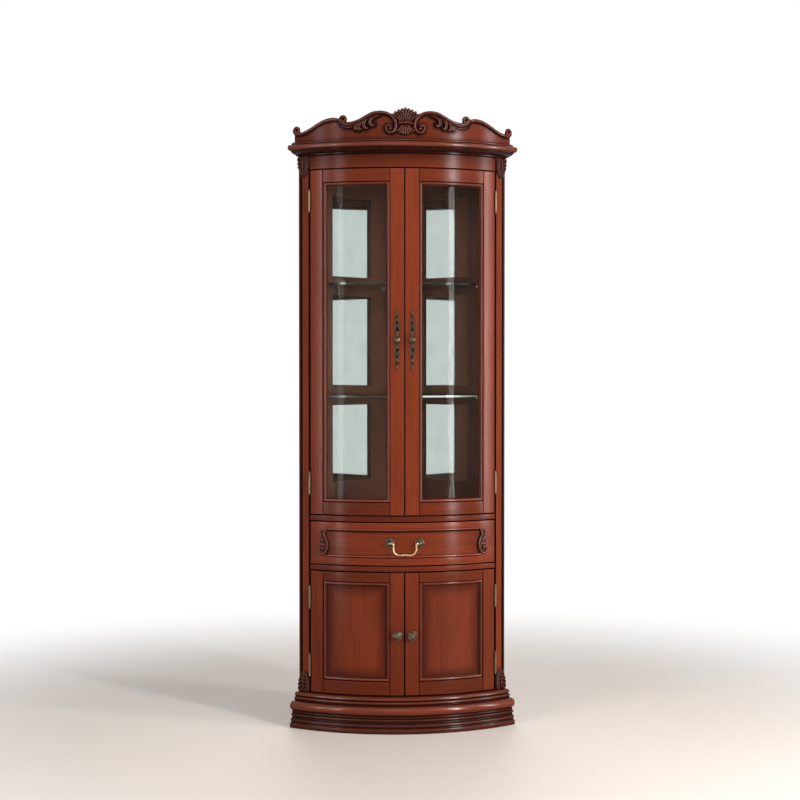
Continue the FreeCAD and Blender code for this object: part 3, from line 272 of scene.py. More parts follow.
def metal_finish(name, bright, dull, patina, roughness, reach, depth):
    """Cast or rolled metal: mottled tone, patina in the recesses, fine wear that breaks the gloss."""
    material, tree = new_material(name)
    spot = object_spot(tree)
    wear = noise(tree, spot, SCRATCH, Detail=2.0)
    mottle = ranged(tree, noise(tree, spot, MOTTLE, Detail=3.0), 0.35, 0.65)
    cast = blended(tree, mottle, linear(dull), linear(bright))
    end_material(tree, principled(tree, {
        "Base Color": blended(tree, in_recess(tree, reach, 0.9, depth), cast, linear(patina)),
        "Metallic": 1.0,
        "Roughness": ranged(tree, wear, 0.3, 0.7, roughness - 0.06, roughness + 0.08),
        "Normal": bumped(tree, wear, 0.12, 0.2 * MM)}))
    return material


antique_bronze = metal_finish("antique_bronze", "#7d715b", "#473e31", "#0d0a07", 0.28, 6 * MM, 1.0)
rubbed_brass = metal_finish("rubbed_brass", "#d2b994", "#a98f69", "#3a2a18", 0.28, 3 * MM, 0.8)
satin_brass = metal_finish("satin_brass", "#7e674d", "#5f4a37", "#2c1f16", 0.36, 2 * MM, 0.85)
filigree_bronze = metal_finish("filigree_bronze", "#6c5746", "#382c22", "#0d0a07", 0.32, 6 * MM, 1.0)
# A near-black metal for the sheet behind the pierced wires, which stands for the shade there: painted shade.
shade_sheet_bronze = metal_finish("shade_sheet_bronze", "#2e271e", "#1b1610", "#0b0806", 0.42, 4 * MM, 1.0)
nickel_steel = metal_finish("nickel_steel", "#b9b6b0", "#9c9994", "#3b3835", 0.3, 2 * MM, 0.6)
METALS = ("bronze", "brass", "steel")
print("metal finishes:", [m.name for m in bpy.data.materials if m.name.endswith(METALS)])

# %% [markdown]
# ## Glass, mirror and moulded plastic
#
# The doors hold clear float glass, the shelves are thicker float glass whose cut edges show green, and
# the backs carry silvered mirror. Rendered glass would cast a solid shadow, so on shadow rays alone the
# material turns see-through and light reaches the shelves. The mirror is a metal, a little grey and
# clouded by its silvering. The catches are brown moulded plastic with a fine texture.

# %% The clear finishes and the plastic
RIPPLE = 180 * MM
CLOUD = 60 * MM
MOULD_GRAIN = 0.8 * MM


def float_glass(name, tint, ior):
    """Clear glass with the faint draw of a float line, open to light."""
    material, tree = new_material(name)
    draw = noise(tree, object_spot(tree), RIPPLE, Detail=0.0)
    pane = principled(tree, {
        "Base Color": linear(tint), "Roughness": 0.0, "IOR": ior, "Transmission Weight": 1.0,
        "Normal": bumped(tree, draw, 0.05, 0.5 * MM)})
    clear = add(tree, "ShaderNodeBsdfTransparent", {"Color": linear(tint)})[0]
    shadow = add(tree, "ShaderNodeLightPath")["Is Shadow Ray"]
    end_material(tree, add(tree, "ShaderNodeMixShader", {0: shadow, 1: pane, 2: clear})[0])
    return material


def silvered_mirror(name, silver, cloud):
    """Mirror glass: a bright metal, slightly clouded."""
    material, tree = new_material(name)
    haze = noise(tree, object_spot(tree), CLOUD, Detail=3.0)
    end_material(tree, principled(tree, {
        "Base Color": blended(tree, haze, linear(silver), linear(cloud)),
        "Metallic": 1.0, "Roughness": ranged(tree, haze, 0.0, 1.0, 0.01, 0.06)}))
    return material


def moulded_plastic(name, light, dark):
    """Injection-moulded plastic with a fine spark-eroded texture."""
    material, tree = new_material(name)
    texture = noise(tree, object_spot(tree), MOULD_GRAIN)
    end_material(tree, principled(tree, {
        "Base Color": blended(tree, texture, linear(dark), linear(light)),
        "Roughness": 0.45, "Normal": bumped(tree, texture, 0.3, 0.1 * MM)}))
    return material


print("clouds of the silvering are", CLOUD, "m wide")

# %% Finishes of the nodes that stay as they are
# The door panes keep little of the lamps, so their index is set below the usual 1.5.
door_glass = float_glass("door_float_glass", "#fbfdfc", 1.1)
shelf_glass = float_glass("shelf_float_glass", "#d9ece2", 1.5)
mirror = silvered_mirror("silvered_mirror", "#e6eae8", "#d8dddb")
catch_plastic = moulded_plastic("moulded_brown_plastic", "#4b2f22", "#3a231a")
doors = [f"{pair}_{hand}_door" for pair in ("upper", "lower") for hand in ("left", "right")]
for finish, nodes in (
    (door_glass, ["upper_left_door_glass", "upper_right_door_glass"]),
    (shelf_glass, ["lower_glass_shelf", "upper_glass_shelf"]),
    (mirror, ["left_mirror_panes", "right_mirror_panes"]),
    (catch_plastic, ["door_catches"]), (nickel_steel, ["shelf_pins"]),
    (satin_brass, ["hinge_post_leaves", "hinge_pins", *[f"{door}_hinge_leaves" for door in doors]]),
):
    for node in nodes:
        frame["nodes"][node].data.materials[0] = finish
    print(finish.name, "is set on", nodes)

# %% [markdown]
# ## Meshes and pieces
#
# The shapes that follow are worked out as rows of points, so a few functions turn rows of points into
# closed meshes with their faces outwards. A finished mesh becomes a piece: it rides on a body of the
# cabinet and stands for the nodes it replaces. A wooden piece also gets the grain attribute, along its
# real grain: up the stiles and posts, round the bow on rails and mouldings, across the flat boards.

# %% Values at the points of a mesh


def read(items, field, width):
    """A value of every item, one row each."""
    values = np.empty(len(items) * width)
    items.foreach_get(field, values)
    return values.reshape(-1, width)


def spots_of(mesh):
    """Places of a mesh's points, one row each."""
    return read(mesh.vertices, "co", 3)


def bowed(mesh):
    """Turn in radians about the axis of the bow, distance from it and level of a mesh's points."""
    x, y, z = spots_of(mesh).T
    return np.arctan2(x, AXIS_Y - y), np.hypot(x, AXIS_Y - y), z


def attach(mesh, name, kind, values):
    """Gives every point of a mesh a value or a vector of its own."""
    layer = mesh.attributes.get(name) or mesh.attributes.new(name, kind, "POINT")
    field = "value" if kind == "FLOAT" else "vector"
    layer.data.foreach_set(field, np.asarray(values, np.float32).ravel())


print("points of the packed waist board:", len(spots_of(frame["nodes"]["waist_board"].data)))

# %% From points to meshes
# Points closer than this are one point.
MERGED = 0.01 * MM


def mesh_of(spots, faces, edges=()):
    """A mesh from points and from faces or edges."""
    mesh = bpy.data.meshes.new("shape")
    faces = [tuple(map(int, face)) for face in faces]
    mesh.from_pydata(np.reshape(spots, (-1, 3)).tolist(), list(edges), faces)
    return mesh


def joined(*meshes):
    """Several meshes as one."""
    whole = bmesh.new()
    for mesh in meshes:
        whole.from_mesh(mesh)
    mesh = bpy.data.meshes.new("joined")
    whole.to_mesh(mesh)
    whole.free()
    return mesh


def outward(mesh):
    """The mesh with its doubles merged and its faces turned outwards."""
    shell = bmesh.new()
    shell.from_mesh(mesh)
    bmesh.ops.remove_doubles(shell, verts=shell.verts, dist=MERGED)
    bmesh.ops.recalc_face_normals(shell, faces=shell.faces)
    shell.to_mesh(mesh)
    shell.free()
    return mesh


print("points closer than", MERGED, "m are merged")

# %% Closed bodies


def tube(rows, columns, closed=False):
    """Faces between rows of points that each close on themselves, and as a whole where it is closed."""
    grid = np.arange(rows * columns).reshape(rows, columns)
    ahead = np.roll(grid, -1, axis=0)
    faces = np.stack([grid, np.roll(grid, -1, axis=1), np.roll(ahead, -1, axis=1), ahead], axis=-1)
    return (faces if closed else faces[:-1]).reshape(-1, 4)


def body_between(front, back):
    """A closed body between two rings of points."""
    count = len(front)
    faces = [range(count), range(2 * count - 1, count - 1, -1)]
    faces += [(k, k + count, (k + 1) % count + count, (k + 1) % count) for k in range(count)]
    return outward(mesh_of([front, back], faces))


def closed_sheet(front, back):
    """A grid of points and a second one behind it, closed round the rim."""
    rows, columns = front.shape[:2]
    count = rows * columns
    grid = np.arange(count).reshape(rows, columns)
    corners = (grid[:-1, :-1], grid[:-1, 1:], grid[1:, 1:], grid[1:, :-1])
    faces = np.stack(corners, axis=-1).reshape(-1, 4)
    rim = np.array([*grid[0], *grid[1:, -1], *grid[-1, -2::-1], *grid[-2:0:-1, 0]])
    ahead = np.roll(rim, -1)
    edge = np.stack([rim, ahead, ahead + count, rim + count], axis=-1)
    return outward(mesh_of([front, back], [*faces, *(faces + count), *edge]))


print("a tube of 3 rows of 4 points has", len(tube(3, 4)), "faces")

# %% Objects and their meshes


def plain_mesh(holder):
    """What an object's modifiers make of it, as a mesh of its own. The object is removed."""
    depsgraph = bpy.context.evaluated_depsgraph_get()
    mesh = bpy.data.meshes.new_from_object(
        holder.evaluated_get(depsgraph), preserve_all_data_layers=True, depsgraph=depsgraph)
    bpy.data.objects.remove(holder)
    return mesh


def in_scene(name, data):
    """A new object in the scene."""
    holder = bpy.data.objects.new(name, data)
    bpy.context.scene.collection.objects.link(holder)
    return holder


# %% From meshes to pieces
GRAIN_SHIFT = np.array([0.37, 0.23, 0.11])
OUTSIDE = {"slot": "outside_wood", "finish": polished_mahogany}
MOULDED = {"slot": "outside_wood", "finish": moulded_mahogany}
INSIDE = {"slot": "inside_wood", "finish": stained_inside_wood}
CARVED = {"slot": "carved_wood", "finish": carved_mahogany}
pieces_made = 0


def lay_grain(mesh, run):
    """Gives a mesh its grain: along, across and into the wood, in metres, shifted for each piece."""
    x, y, z = spots_of(mesh).T
    turn, depth, _ = bowed(mesh)
    arc = turn * FACE
    runs = {"up": (z, arc, depth), "round": (arc, z, depth), "wide": (x, y, z), "deep": (y, x, z)}
    attach(mesh, "grain", "FLOAT_VECTOR", np.stack(runs[run], axis=1) + GRAIN_SHIFT * pieces_made)


def place(name, mesh, body, slot, finish, nodes=(), run=None):
    """Puts a finished mesh into the scene as a piece that rides on a body and stands for its nodes."""
    global pieces_made
    pieces_made += 1
    if run:
        lay_grain(mesh, run)
    mesh.materials.clear()
    mesh.materials.append(finish)
    piece = in_scene(name, mesh)
    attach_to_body(piece, body)
    if nodes:
        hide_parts(*nodes)


print("slots of the wood:", sorted({look["slot"] for look in (OUTSIDE, MOULDED, INSIDE, CARVED)}))

# %% [markdown]
# ## Glaze and painted shade
#
# The polisher brushed a dark glaze over the wood and wiped it off again. Over it, shade is painted
# into the wood where little light reaches: in the gaps between boards, in the quirks of mouldings and
# beside carved ridges, while crowns that face the lamps are kept lighter as painted highlight. How much
# is painted is worked out for each point from the way its face looks or from its level.

# %% Leave glaze on a mesh


def paint_glaze_and_shade(mesh, amounts):
    """Marks how much glaze and painted shade lie at each point of a mesh, or adds to what was marked before.
    """
    layer = mesh.attributes.get("glaze_and_shade") or mesh.attributes.new("glaze_and_shade", "FLOAT", "POINT")
    before = read(layer.data, "value", 1)[:, 0]
    attach(mesh, "glaze_and_shade", "FLOAT", np.maximum(before, amounts))


def paint_glaze_and_shade_by_level(mesh, levels):
    """Paints glaze and shade by height: a list of (level in millimetres, amount)."""
    paint_glaze_and_shade(mesh, np.interp(spots_of(mesh)[:, 2] / MM, *zip(*levels)))


print("glaze helpers:", [helper.__name__ for helper in (paint_glaze_and_shade, paint_glaze_and_shade_by_level)])

# %% Glaze and painted shade in the gaps between boards
# Painted shade and glaze are thick this far into a gap. Behind it, and on faces against the wall, little is
# painted.
GAP_REACH = 5 * MM
BEHIND = 0.35
WALL_FACING = 0.62
FRONT_FACING = 0.85
IN_GAPS = 0.97


def paint_shade_in_gaps(mesh):
    """Paints dark shade, with glaze, on the faces that look into gaps between boards, thick at the front and
    thin behind.
    """
    amounts = np.zeros(len(mesh.vertices))
    reach = bowed(mesh)[1]
    share = np.where(reach > reach.max() - GAP_REACH, 1.0, BEHIND)
    for face in mesh.polygons:
        outwards = Vector((face.center.x, face.center.y - AXIS_Y, 0)).normalized()
        if abs(face.normal.dot(outwards)) < FRONT_FACING and face.normal.y < WALL_FACING:
            corners = list(face.vertices)
            amounts[corners] = IN_GAPS * share[corners]
    paint_glaze_and_shade(mesh, amounts)


print("glaze is thick for", GAP_REACH, "m into a gap")

# %% Painted light and shade on carved ridges
# Light falls on carved ridges from the front and from above: what faces it is painted light, and what looks
# away from both is painted shade.
LIGHT_FROM_FRONT, LIGHT_FROM_ABOVE = 0.87, 0.5
TOP_LIGHT = 1.05
LIT_STEPS = (0.1, 0.5, 0.8, 0.95)
LOOKS_AWAY = -0.2


def paint_ridge_light_and_shade(mesh, crown, shaded_flank, lit_top=False):
    """Paints shade on the flanks of carved ridges and light on their crowns, and on their tops where lit from
    above.
    """
    normals = read(mesh.vertices, "normal", 3)
    towards = (spots_of(mesh) - (0, AXIS_Y, 0)) * (1, 1, 0)
    towards /= np.linalg.norm(towards, axis=1, keepdims=True)
    facing, rising = np.einsum("ij,ij->i", normals, towards), normals[:, 2]
    lit_share = LIGHT_FROM_FRONT * facing + LIGHT_FROM_ABOVE * rising
    if lit_top:
        lit_share = np.maximum(lit_share, TOP_LIGHT * rising)
    amounts = (shaded_flank, 0.75 * shaded_flank, 0.35 * shaded_flank + 0.65 * crown, crown)
    paint_glaze_and_shade(mesh, np.where(facing < LOOKS_AWAY, BEHIND, np.interp(lit_share, LIT_STEPS, amounts)))


print("a ridge is rubbed bright where the rag reaches more than", LIT_STEPS[-1])

# %% [markdown]
# ## Boards with eased edges
#
# No joiner leaves an edge sharp: each is broken with sandpaper, and the rounded edge catches a thin line
# of light that tells the eye where one board stops and the next begins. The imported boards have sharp
# edges, so each is copied, its triangles are merged back to whole faces, and a Bevel rounds its edges.

# %% Whole boards and eased edges
# Triangles that differ by less are one flat face, and edges between faces that differ by more are eased.
FLAT = math.radians(0.2)
SHARP = math.radians(30)


def whole_board(node):
    """A packed board's mesh with its triangles merged back to whole faces."""
    board = bmesh.new()
    board.from_mesh(frame["nodes"][node].data)
    bmesh.ops.remove_doubles(board, verts=board.verts, dist=MERGED)
    bmesh.ops.dissolve_limit(board, angle_limit=FLAT, verts=board.verts, edges=board.edges)
    mesh = bpy.data.meshes.new("whole_board")
    board.to_mesh(mesh)
    board.free()
    if "custom_normal" in mesh.attributes:
        mesh.attributes.remove(mesh.attributes["custom_normal"])
    return mesh


def eased(mesh, edge):
    """The mesh with its edges rounded over."""
    mesh.shade_smooth()
    holder = in_scene("eased", mesh)
    bevel = holder.modifiers.new("eased edges", "BEVEL")
    bevel.width = edge
    bevel.segments = 2
    bevel.limit_method = "ANGLE"
    bevel.angle_limit = SHARP
    holder.modifiers.new("flat faces", "WEIGHTED_NORMAL")
    return plain_mesh(holder)


print("edges of more than", round(math.degrees(SHARP)), "degrees are eased")

# %% A wooden piece from each packed board
EASED = 0.8 * MM
EASED_FRONT = 2.0 * MM
boards = [
    (OUTSIDE, "round", ["frieze_rail", "waist_board", "dust_board"]),
    (INSIDE, "wide", ["plinth_bearers", "bottom_board", "ceiling_board", "top_board"]),
    (INSIDE, "up", ["rear_corner_post", "left_back_panel", "right_back_panel"]),
    (INSIDE, "up", ["left_mirror_frame", "right_mirror_frame"]),
    (INSIDE, "deep", ["drawer_runners", "drawer_sides"]),
    (INSIDE, "wide", ["drawer_back", "drawer_bottom"]),
]
for hand in ("left", "right"):
    for door in (f"upper_{hand}_door", f"lower_{hand}_door"):
        boards += [(OUTSIDE, "up", [f"{door}_stiles"]), (OUTSIDE, "round", [f"{door}_rails"])]
# Glaze and painted shade on the outside boards, by level in millimetres: stiles and rails are painted darker
# towards the floor, and the frieze darker under the cornice, as shade.
glaze_and_shade_levels = {
    "frieze_rail": [(1812, 0.34), (1840, 0.42), (1857, 0.72)],
    "waist_board": [(675, 0.52), (694, 0.46)],
    "dust_board": [(515, 0.4), (533, 0.32)],
    "stiles": [(116, 0.34), (513, 0.26), (696, 0.14), (1100, 0)],
    "rails": [(116, 0.48), (738, 0.38), (1700, 0.3)],
}
for look, run, nodes in boards:
    for node in nodes:
        board = eased(whole_board(node), EASED_FRONT if look is OUTSIDE else EASED)
        if look is OUTSIDE:
            paint_shade_in_gaps(board)
            paint_glaze_and_shade_by_level(board, glaze_and_shade_levels.get(node) or glaze_and_shade_levels[node.split("_")[-1]])
        place(f"finished_{node}", board, frame["nodes"][node]["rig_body"], nodes=[node], run=run, **look)
print("eased boards:", pieces_made)

# %% [markdown]
# ## Cornice and plinth
#
# Both are mouldings that were run on a spindle moulder. The cornice has a hollow, a sharp step, a round
# nose and a small bead under the crest. The plinth has a base roll, two beads with a hollow between them,
# a thick roll and two lighter members on top. A moulding is one outline carried along a path. Here the
# path is the bow, and each point of the outline stops where its own arc meets the wall, so the ends lie
# flat on the walls. Every quirk is painted dark as shade, and the lit crowns of the members are left lighter.

# %% An outline carried round the bow
WALL_CORNER = 258.5 * MM
WALL_OFFSET = AXIS_Y - WALL_CORNER
MOULDING_STEPS = 97
MOULDING_EDGE = 0.3 * MM


def wall_angle(radius):
    """How far an arc of this radius can turn from the middle before it meets a wall."""
    reach = (np.sqrt(2 * radius ** 2 - WALL_OFFSET ** 2) - WALL_OFFSET) / 2
    return np.arcsin(reach / radius)


def moulding(outline):
    """A closed outline of (out from the face, level) in millimetres, carried round to both walls."""
    out, level = np.array(outline).T * MM
    share = np.linspace(-1, 1, MOULDING_STEPS)[:, None]
    spots = polar(share * wall_angle(FACE + out), FACE + out, level)
    ends = np.arange(len(outline)), np.arange(len(outline)) + (MOULDING_STEPS - 1) * len(outline)
    return outward(mesh_of(spots, [*ends, *tube(MOULDING_STEPS, len(outline))]))


def rounded(middle, reach, angles, steps=7):
    """Points on an arc of an outline."""
    turns = np.radians(np.linspace(*angles, steps))
    return [(middle[0] + reach * math.cos(turn), middle[1] + reach * math.sin(turn)) for turn in turns]


def run_moulding(node, outline, levels):
    """Runs a moulding, paints shade in its quirks by level and puts it in the place of a node."""
    mesh = eased(moulding(outline), MOULDING_EDGE)
    paint_glaze_and_shade_by_level(mesh, levels)
    place(f"finished_{node}", mesh, "carcass", nodes=[node], run="round", **MOULDED)
    print(node, "has", len(mesh.polygons), "faces")


# %% The cornice
hollow = [(12 + 25 * share ** 0.8, 1860.5 + 11.5 * share ** 1.5) for share in np.linspace(0.1, 1, 9)]
# The outline of the cornice, then painted shade by level: dark in the quirks and under the nose, lighter on
# the lit nose.
run_moulding("cornice_moulding", [
    (-22, 1857), (12, 1857), (12, 1860.5), *hollow, (38, 1871.6), (38, 1872.8),
    *rounded((39.9, 1881.5), 9, (-85, 85), 13), (38, 1890.7), (31.4, 1891), (31.4, 1892.4),
    *rounded((29.5, 1895), 2.7, (-60, 90), 6), (26, 1898.2), (25.5, 1900), (-22, 1900),
], [
    (1857, 0.98), (1860.6, 0.95), (1864, 0.86), (1869, 0.86), (1871.8, 0.97), (1873.5, 0.9), (1876, 0.45),
    (1880, 0.2), (1886, 0.2), (1889, 0.5), (1890.8, 0.95), (1892.4, 0.9), (1894, 0.4), (1897, 0.3),
    (1898.4, 0.85), (1900, 0.6)])

# %% The plinth
# The outline of the plinth, then painted shade by level: near black in the quirks, lighter on the lit crowns
# of the rolls and beads.
run_moulding("plinth_moulding", [
    (-45, 0), (41.5, 0), (42, 0.6), (42, 11), *rounded((36.5, 11), 5.5, (8, 75)), (37, 17.2), (36.6, 19.2),
    *rounded((33, 25.2), 5.7, (-62, 62), 11), (34.6, 30.9), (32.6, 32.5), (31.8, 34.5), (31.8, 36.8),
    (32.4, 38.4), *rounded((32.6, 42.6), 3.9, (-80, 80), 9), (31.5, 46.9), (30.6, 47.6), (30.6, 48.7),
    *rounded((30.6, 51.4), 2.4, (-75, 75)), (30, 54.2), (30, 55.4), *rounded((26.2, 71), 15.3, (-78, 84), 19),
    (21.5, 86.9), (20.5, 87.6), (20.5, 89.2), *rounded((17.6, 94.2), 4.6, (-75, 80), 9), (16.2, 99.4),
    (16.2, 101.6), (17.5, 102.2), (19.4, 103.2), *rounded((9.6, 103.8), 10.2, (0, 84), 9), (7, 114),
    (-45, 114),
], [
    (0, 0.9), (3, 0.75), (12, 0.6), (16, 0.75), (17.5, 0.98), (19.5, 0.98), (21, 0.75), (25, 0.6), (29, 0.75),
    (31.5, 0.95), (37, 0.95), (39.5, 0.7), (43, 0.6), (46, 0.8), (47.2, 0.98), (49, 0.95), (51.5, 0.6),
    (53.5, 0.9), (55.6, 0.98), (59, 0.5), (66, 0.25), (78, 0.18), (84, 0.35), (86.6, 0.9), (89.4, 0.97),
    (91.5, 0.5), (95, 0.35), (98, 0.6), (99.4, 0.97), (102, 0.97), (104, 0.5), (108, 0.35), (114, 0.6)])

# %% [markdown]
# ## Beads and panels of the doors
#
# Inside each door frame runs a small rounded bead, mitred at its corners. It holds the bowed pane above
# and frames the bowed panel below. It is one outline again, this time carried round a closed path: along
# the bow at the foot and head, straight up at the sides. Painted shade lies in the quirk on both sides of
# it, and its crown is painted lighter. The panel is a bowed sheet, painted darker round its edge as shade.

# %% A bead carried round an opening
# Steps along one side, close together at both ends, so that the mitres stay crisp.
SIDE_STEPS = np.array([0, 0.003, *np.linspace(0.045, 0.955, 21), 0.997])
REAR_BEAD = [(0, -16.2, 0.6), (0, -22, 0.2), (7, -22, 0.2), (8.6, -21, 0.2), (9, -19, 0.3), (9, -16.2, 0.6)]
# Along the foot of a bead, where light falls on it, the lighter amounts are cut to a share, as painted
# highlight.
THIN_SHADE = 0.6
FOOT_SHARE = 0.2


def bead_frame(outline, angles, levels, side):
    """A closed outline of (inset, out from the face, glaze and painted shade) carried round an opening of a
    door.
    """
    count = len(SIDE_STEPS)
    spots, grain, glaze = [], [], []
    for inset, out, amount in outline:
        turn = math.degrees(inset * MM / FACE)
        left, right = angles[0] + turn, angles[1] - turn
        foot, head = levels[0] + inset, levels[1] - inset
        across, rise = left + SIDE_STEPS * (right - left), foot + SIDE_STEPS * (head - foot)
        turns = np.array([*across, *[right] * count, *(left + right - across), *[left] * count])
        rises = np.array([*[foot] * count, *rise, *[head] * count, *(foot + head - rise)])
        ring = polar(side * np.radians(turns), FACE + out * MM, rises * MM)
        steps = np.linalg.norm(np.roll(ring, -1, axis=0) - ring, axis=1)
        length = np.concatenate([[0], np.cumsum(steps)[:-1]])
        spots.append(ring)
        grain.append(np.stack(np.broadcast_arrays(length, inset * MM, out * MM), axis=1))
        lit_foot = (np.arange(4 * count) < count) & (amount < THIN_SHADE)
        glaze.append(np.where(lit_foot, FOOT_SHARE * amount, amount))
    mesh = mesh_of(spots, tube(len(outline), 4 * count, closed=True))
    attach(mesh, "grain", "FLOAT_VECTOR", np.concatenate(grain))
    paint_glaze_and_shade(mesh, np.concatenate(glaze))
    mesh.shade_smooth()
    return outward(mesh)


def front_bead(floor):
    """The outline of the bead in front of a pane or panel that lies at this depth."""
    arc = rounded((5.0, -4.6), 4.2, (165, -10), 11)
    # The crown of the bead is painted lighter as highlight; its flanks and the quirks beside it darker as
    # shade.
    crown = [(inset, out, 0.45 if out > -2.5 else 0.7) for inset, out in arc]
    return [(0, floor, 0.97), (0, -3.6, 0.97), (0.7, -3.5, 0.9), *crown, (9.7, -6.2, 0.9), (11.2, -6.8, 0.6),
            (12, -7.4, 0.85), (12, floor, 0.97)]


print("bead outline points:", len(front_bead(-10)))

# %% A bowed panel
PANEL_ANGLES = (4.89, 27.74)
PANEL_FRONT, PANEL_BACK = -10, -17
PANEL_STEPS = 31
# Glaze in the middle of a panel, painted shade at its edge, and how far the shade reaches in from the edge.
PANEL_MIDDLE, PANEL_EDGE = 0.22, 0.72
PANEL_REACH = 44 * MM


def bowed_panel(side, low, high):
    """The bowed panel of a cupboard door, painted darker round its edge as shade."""
    turns = side * np.radians(np.linspace(*PANEL_ANGLES, PANEL_STEPS))
    along, up = np.meshgrid(turns * FACE, np.linspace(low, high, PANEL_STEPS) * MM)
    panel = closed_sheet(*[wrapped(along, up, depth * MM) for depth in (PANEL_FRONT, PANEL_BACK)])
    panel.shade_smooth()
    turn, _, z = bowed(panel)
    arc = turn * FACE
    inset = np.minimum.reduce([arc - arc.min(), arc.max() - arc, z - z.min(), z.max() - z])
    paint_glaze_and_shade(panel, np.maximum(PANEL_MIDDLE, PANEL_EDGE * np.exp(-(inset / PANEL_REACH) ** 2)))
    return panel


print("a panel is", PANEL_FRONT - PANEL_BACK, "mm thick")

# %% Beads and panels of the four doors
SIDES = (("right", 1), ("left", -1))
OPENING_ANGLES = (4.83, 27.79)
PANE_LEVELS = (738, 1768)
PANE_FRONT = -11.8
PANEL_LEVELS = (161, 480)
PANEL_GAP = 0.5
# The bead of a panel starts this far in front of it.
BEAD_GAP = 0.2
for hand, side in SIDES:
    upper, lower = f"upper_{hand}_door", f"lower_{hand}_door"
    outlines = (front_bead(PANE_FRONT), REAR_BEAD)
    glazing = joined(*[bead_frame(outline, OPENING_ANGLES, PANE_LEVELS, side) for outline in outlines])
    glazing.shade_smooth()
    place(f"upper_{hand}_glazing_bead", glazing, upper, nodes=[f"{upper}_glazing_bead"], **MOULDED)
    bead = bead_frame(front_bead(PANEL_FRONT + BEAD_GAP), OPENING_ANGLES, PANEL_LEVELS, side)
    place(f"lower_{hand}_panel_bead", bead, lower, **MOULDED)
    panel = bowed_panel(side, PANEL_LEVELS[0] + PANEL_GAP, PANEL_LEVELS[1] - PANEL_GAP)
    place(f"finished_{lower}_panel", panel, lower, nodes=[f"{lower}_panel"], run="up", **OUTSIDE)
print("pieces so far:", pieces_made)

# %% [markdown]
# ## A tree that sweeps carved strands
#
# Scrolls, rolls, leaf fingers and the wires of the handles are all one thing to a carver: a rounded
# ridge that follows a line and swells and thins as it goes. They could be extruded one by one, but a
# single geometry tree does them all. It takes lines of points that carry a thickness, smooths them,
# sweeps a round section along them and wraps the result round the bow.

# %% The start and end of a geometry tree


def new_tree(name, values):
    """A geometry tree that takes a mesh, named values and a finish, and the sockets it takes them from."""
    tree = bpy.data.node_groups.new(name, "GeometryNodeTree")
    sockets = [("Geometry", "INPUT", "Geometry"), *[(value, "INPUT", "Float") for value in values]]
    sockets += [("Finish", "INPUT", "Material"), ("Geometry", "OUTPUT", "Geometry")]
    for label, way, kind in sockets:
        socket = tree.interface.new_socket(label, in_out=way, socket_type=f"NodeSocket{kind}")
        if label in values:
            socket.default_value = values[label]
    return tree, add(tree, "NodeGroupInput")


def end_tree(tree, given, geometry):
    """Makes the geometry of a tree real, gives it its finish and hands it out."""
    real = add(tree, "GeometryNodeRealizeInstances", {"Geometry": geometry})[0]
    dressed = add(tree, "GeometryNodeSetMaterial", {"Geometry": real, "Material": given["Finish"]})[0]
    add(tree, "NodeGroupOutput", {"Geometry": dressed})
    print(tree.name, "has", len(tree.nodes), "nodes")
    return tree


def run_tree(tree, mesh, values):
    """What a geometry tree makes from a mesh, as a plain mesh."""
    holder = in_scene("tree_holder", mesh)
    modifier = holder.modifiers.new("tree", "NODES")
    modifier.node_group = tree
    for socket in tree.interface.items_tree:
        if socket.in_out == "INPUT" and socket.name in values:
            modifier[socket.identifier] = values[socket.name]
    return plain_mesh(holder)


print("geometry trees so far:", len(bpy.data.node_groups))

# %% The strand tree
LINE_STEPS = 5
SECTION_POINTS = 12


def strand_tree():
    """Smooths each line of points, sweeps a round section along it and wraps it round the bow."""
    tree, given = new_tree("swept_strands", {"Bow radius": FACE, "Bow axis": AXIS_Y, "Wrap": 1.0})
    line = add(tree, "GeometryNodeMeshToCurve", {"Mesh": given["Geometry"]})[0]
    flowing = add(tree, "GeometryNodeCurveSplineType", {"Curve": line}, spline_type="CATMULL_ROM")[0]
    fine = add(tree, "GeometryNodeSetSplineResolution", {"Geometry": flowing, "Resolution": LINE_STEPS})[0]
    thick = add(tree, "GeometryNodeInputNamedAttribute", {"Name": "thick"}, data_type="FLOAT")[0]
    section = add(tree, "GeometryNodeCurvePrimitiveCircle", {"Resolution": SECTION_POINTS, "Radius": 1.0})[0]
    swept = add(tree, "GeometryNodeCurveToMesh", {
        "Curve": fine, "Profile Curve": section, "Scale": thick, "Fill Caps": True})[0]
    flat = add(tree, "GeometryNodeInputPosition")[0]
    part = add(tree, "ShaderNodeSeparateXYZ", {0: flat})
    angle = maths(tree, "DIVIDE", part["X"], given["Bow radius"])
    reach = maths(tree, "SUBTRACT", given["Bow radius"], part["Y"])
    side = maths(tree, "MULTIPLY", reach, maths(tree, "SINE", angle))
    front = maths(tree, "MULTIPLY", reach, maths(tree, "COSINE", angle))
    back = maths(tree, "SUBTRACT", given["Bow axis"], front)
    bent = add(tree, "ShaderNodeCombineXYZ", {"X": side, "Y": back, "Z": part["Z"]})[0]
    chosen = add(tree, "ShaderNodeMix", {"Factor": given["Wrap"], 4: flat, 5: bent}, data_type="VECTOR")[1]
    placed = add(tree, "GeometryNodeSetPosition", {"Geometry": swept, "Position": chosen})[0]
    return end_tree(tree, given, add(tree, "GeometryNodeSetShadeSmooth", {"Geometry": placed})[0])


swept_strands = strand_tree()

# %% Strands swept by the tree


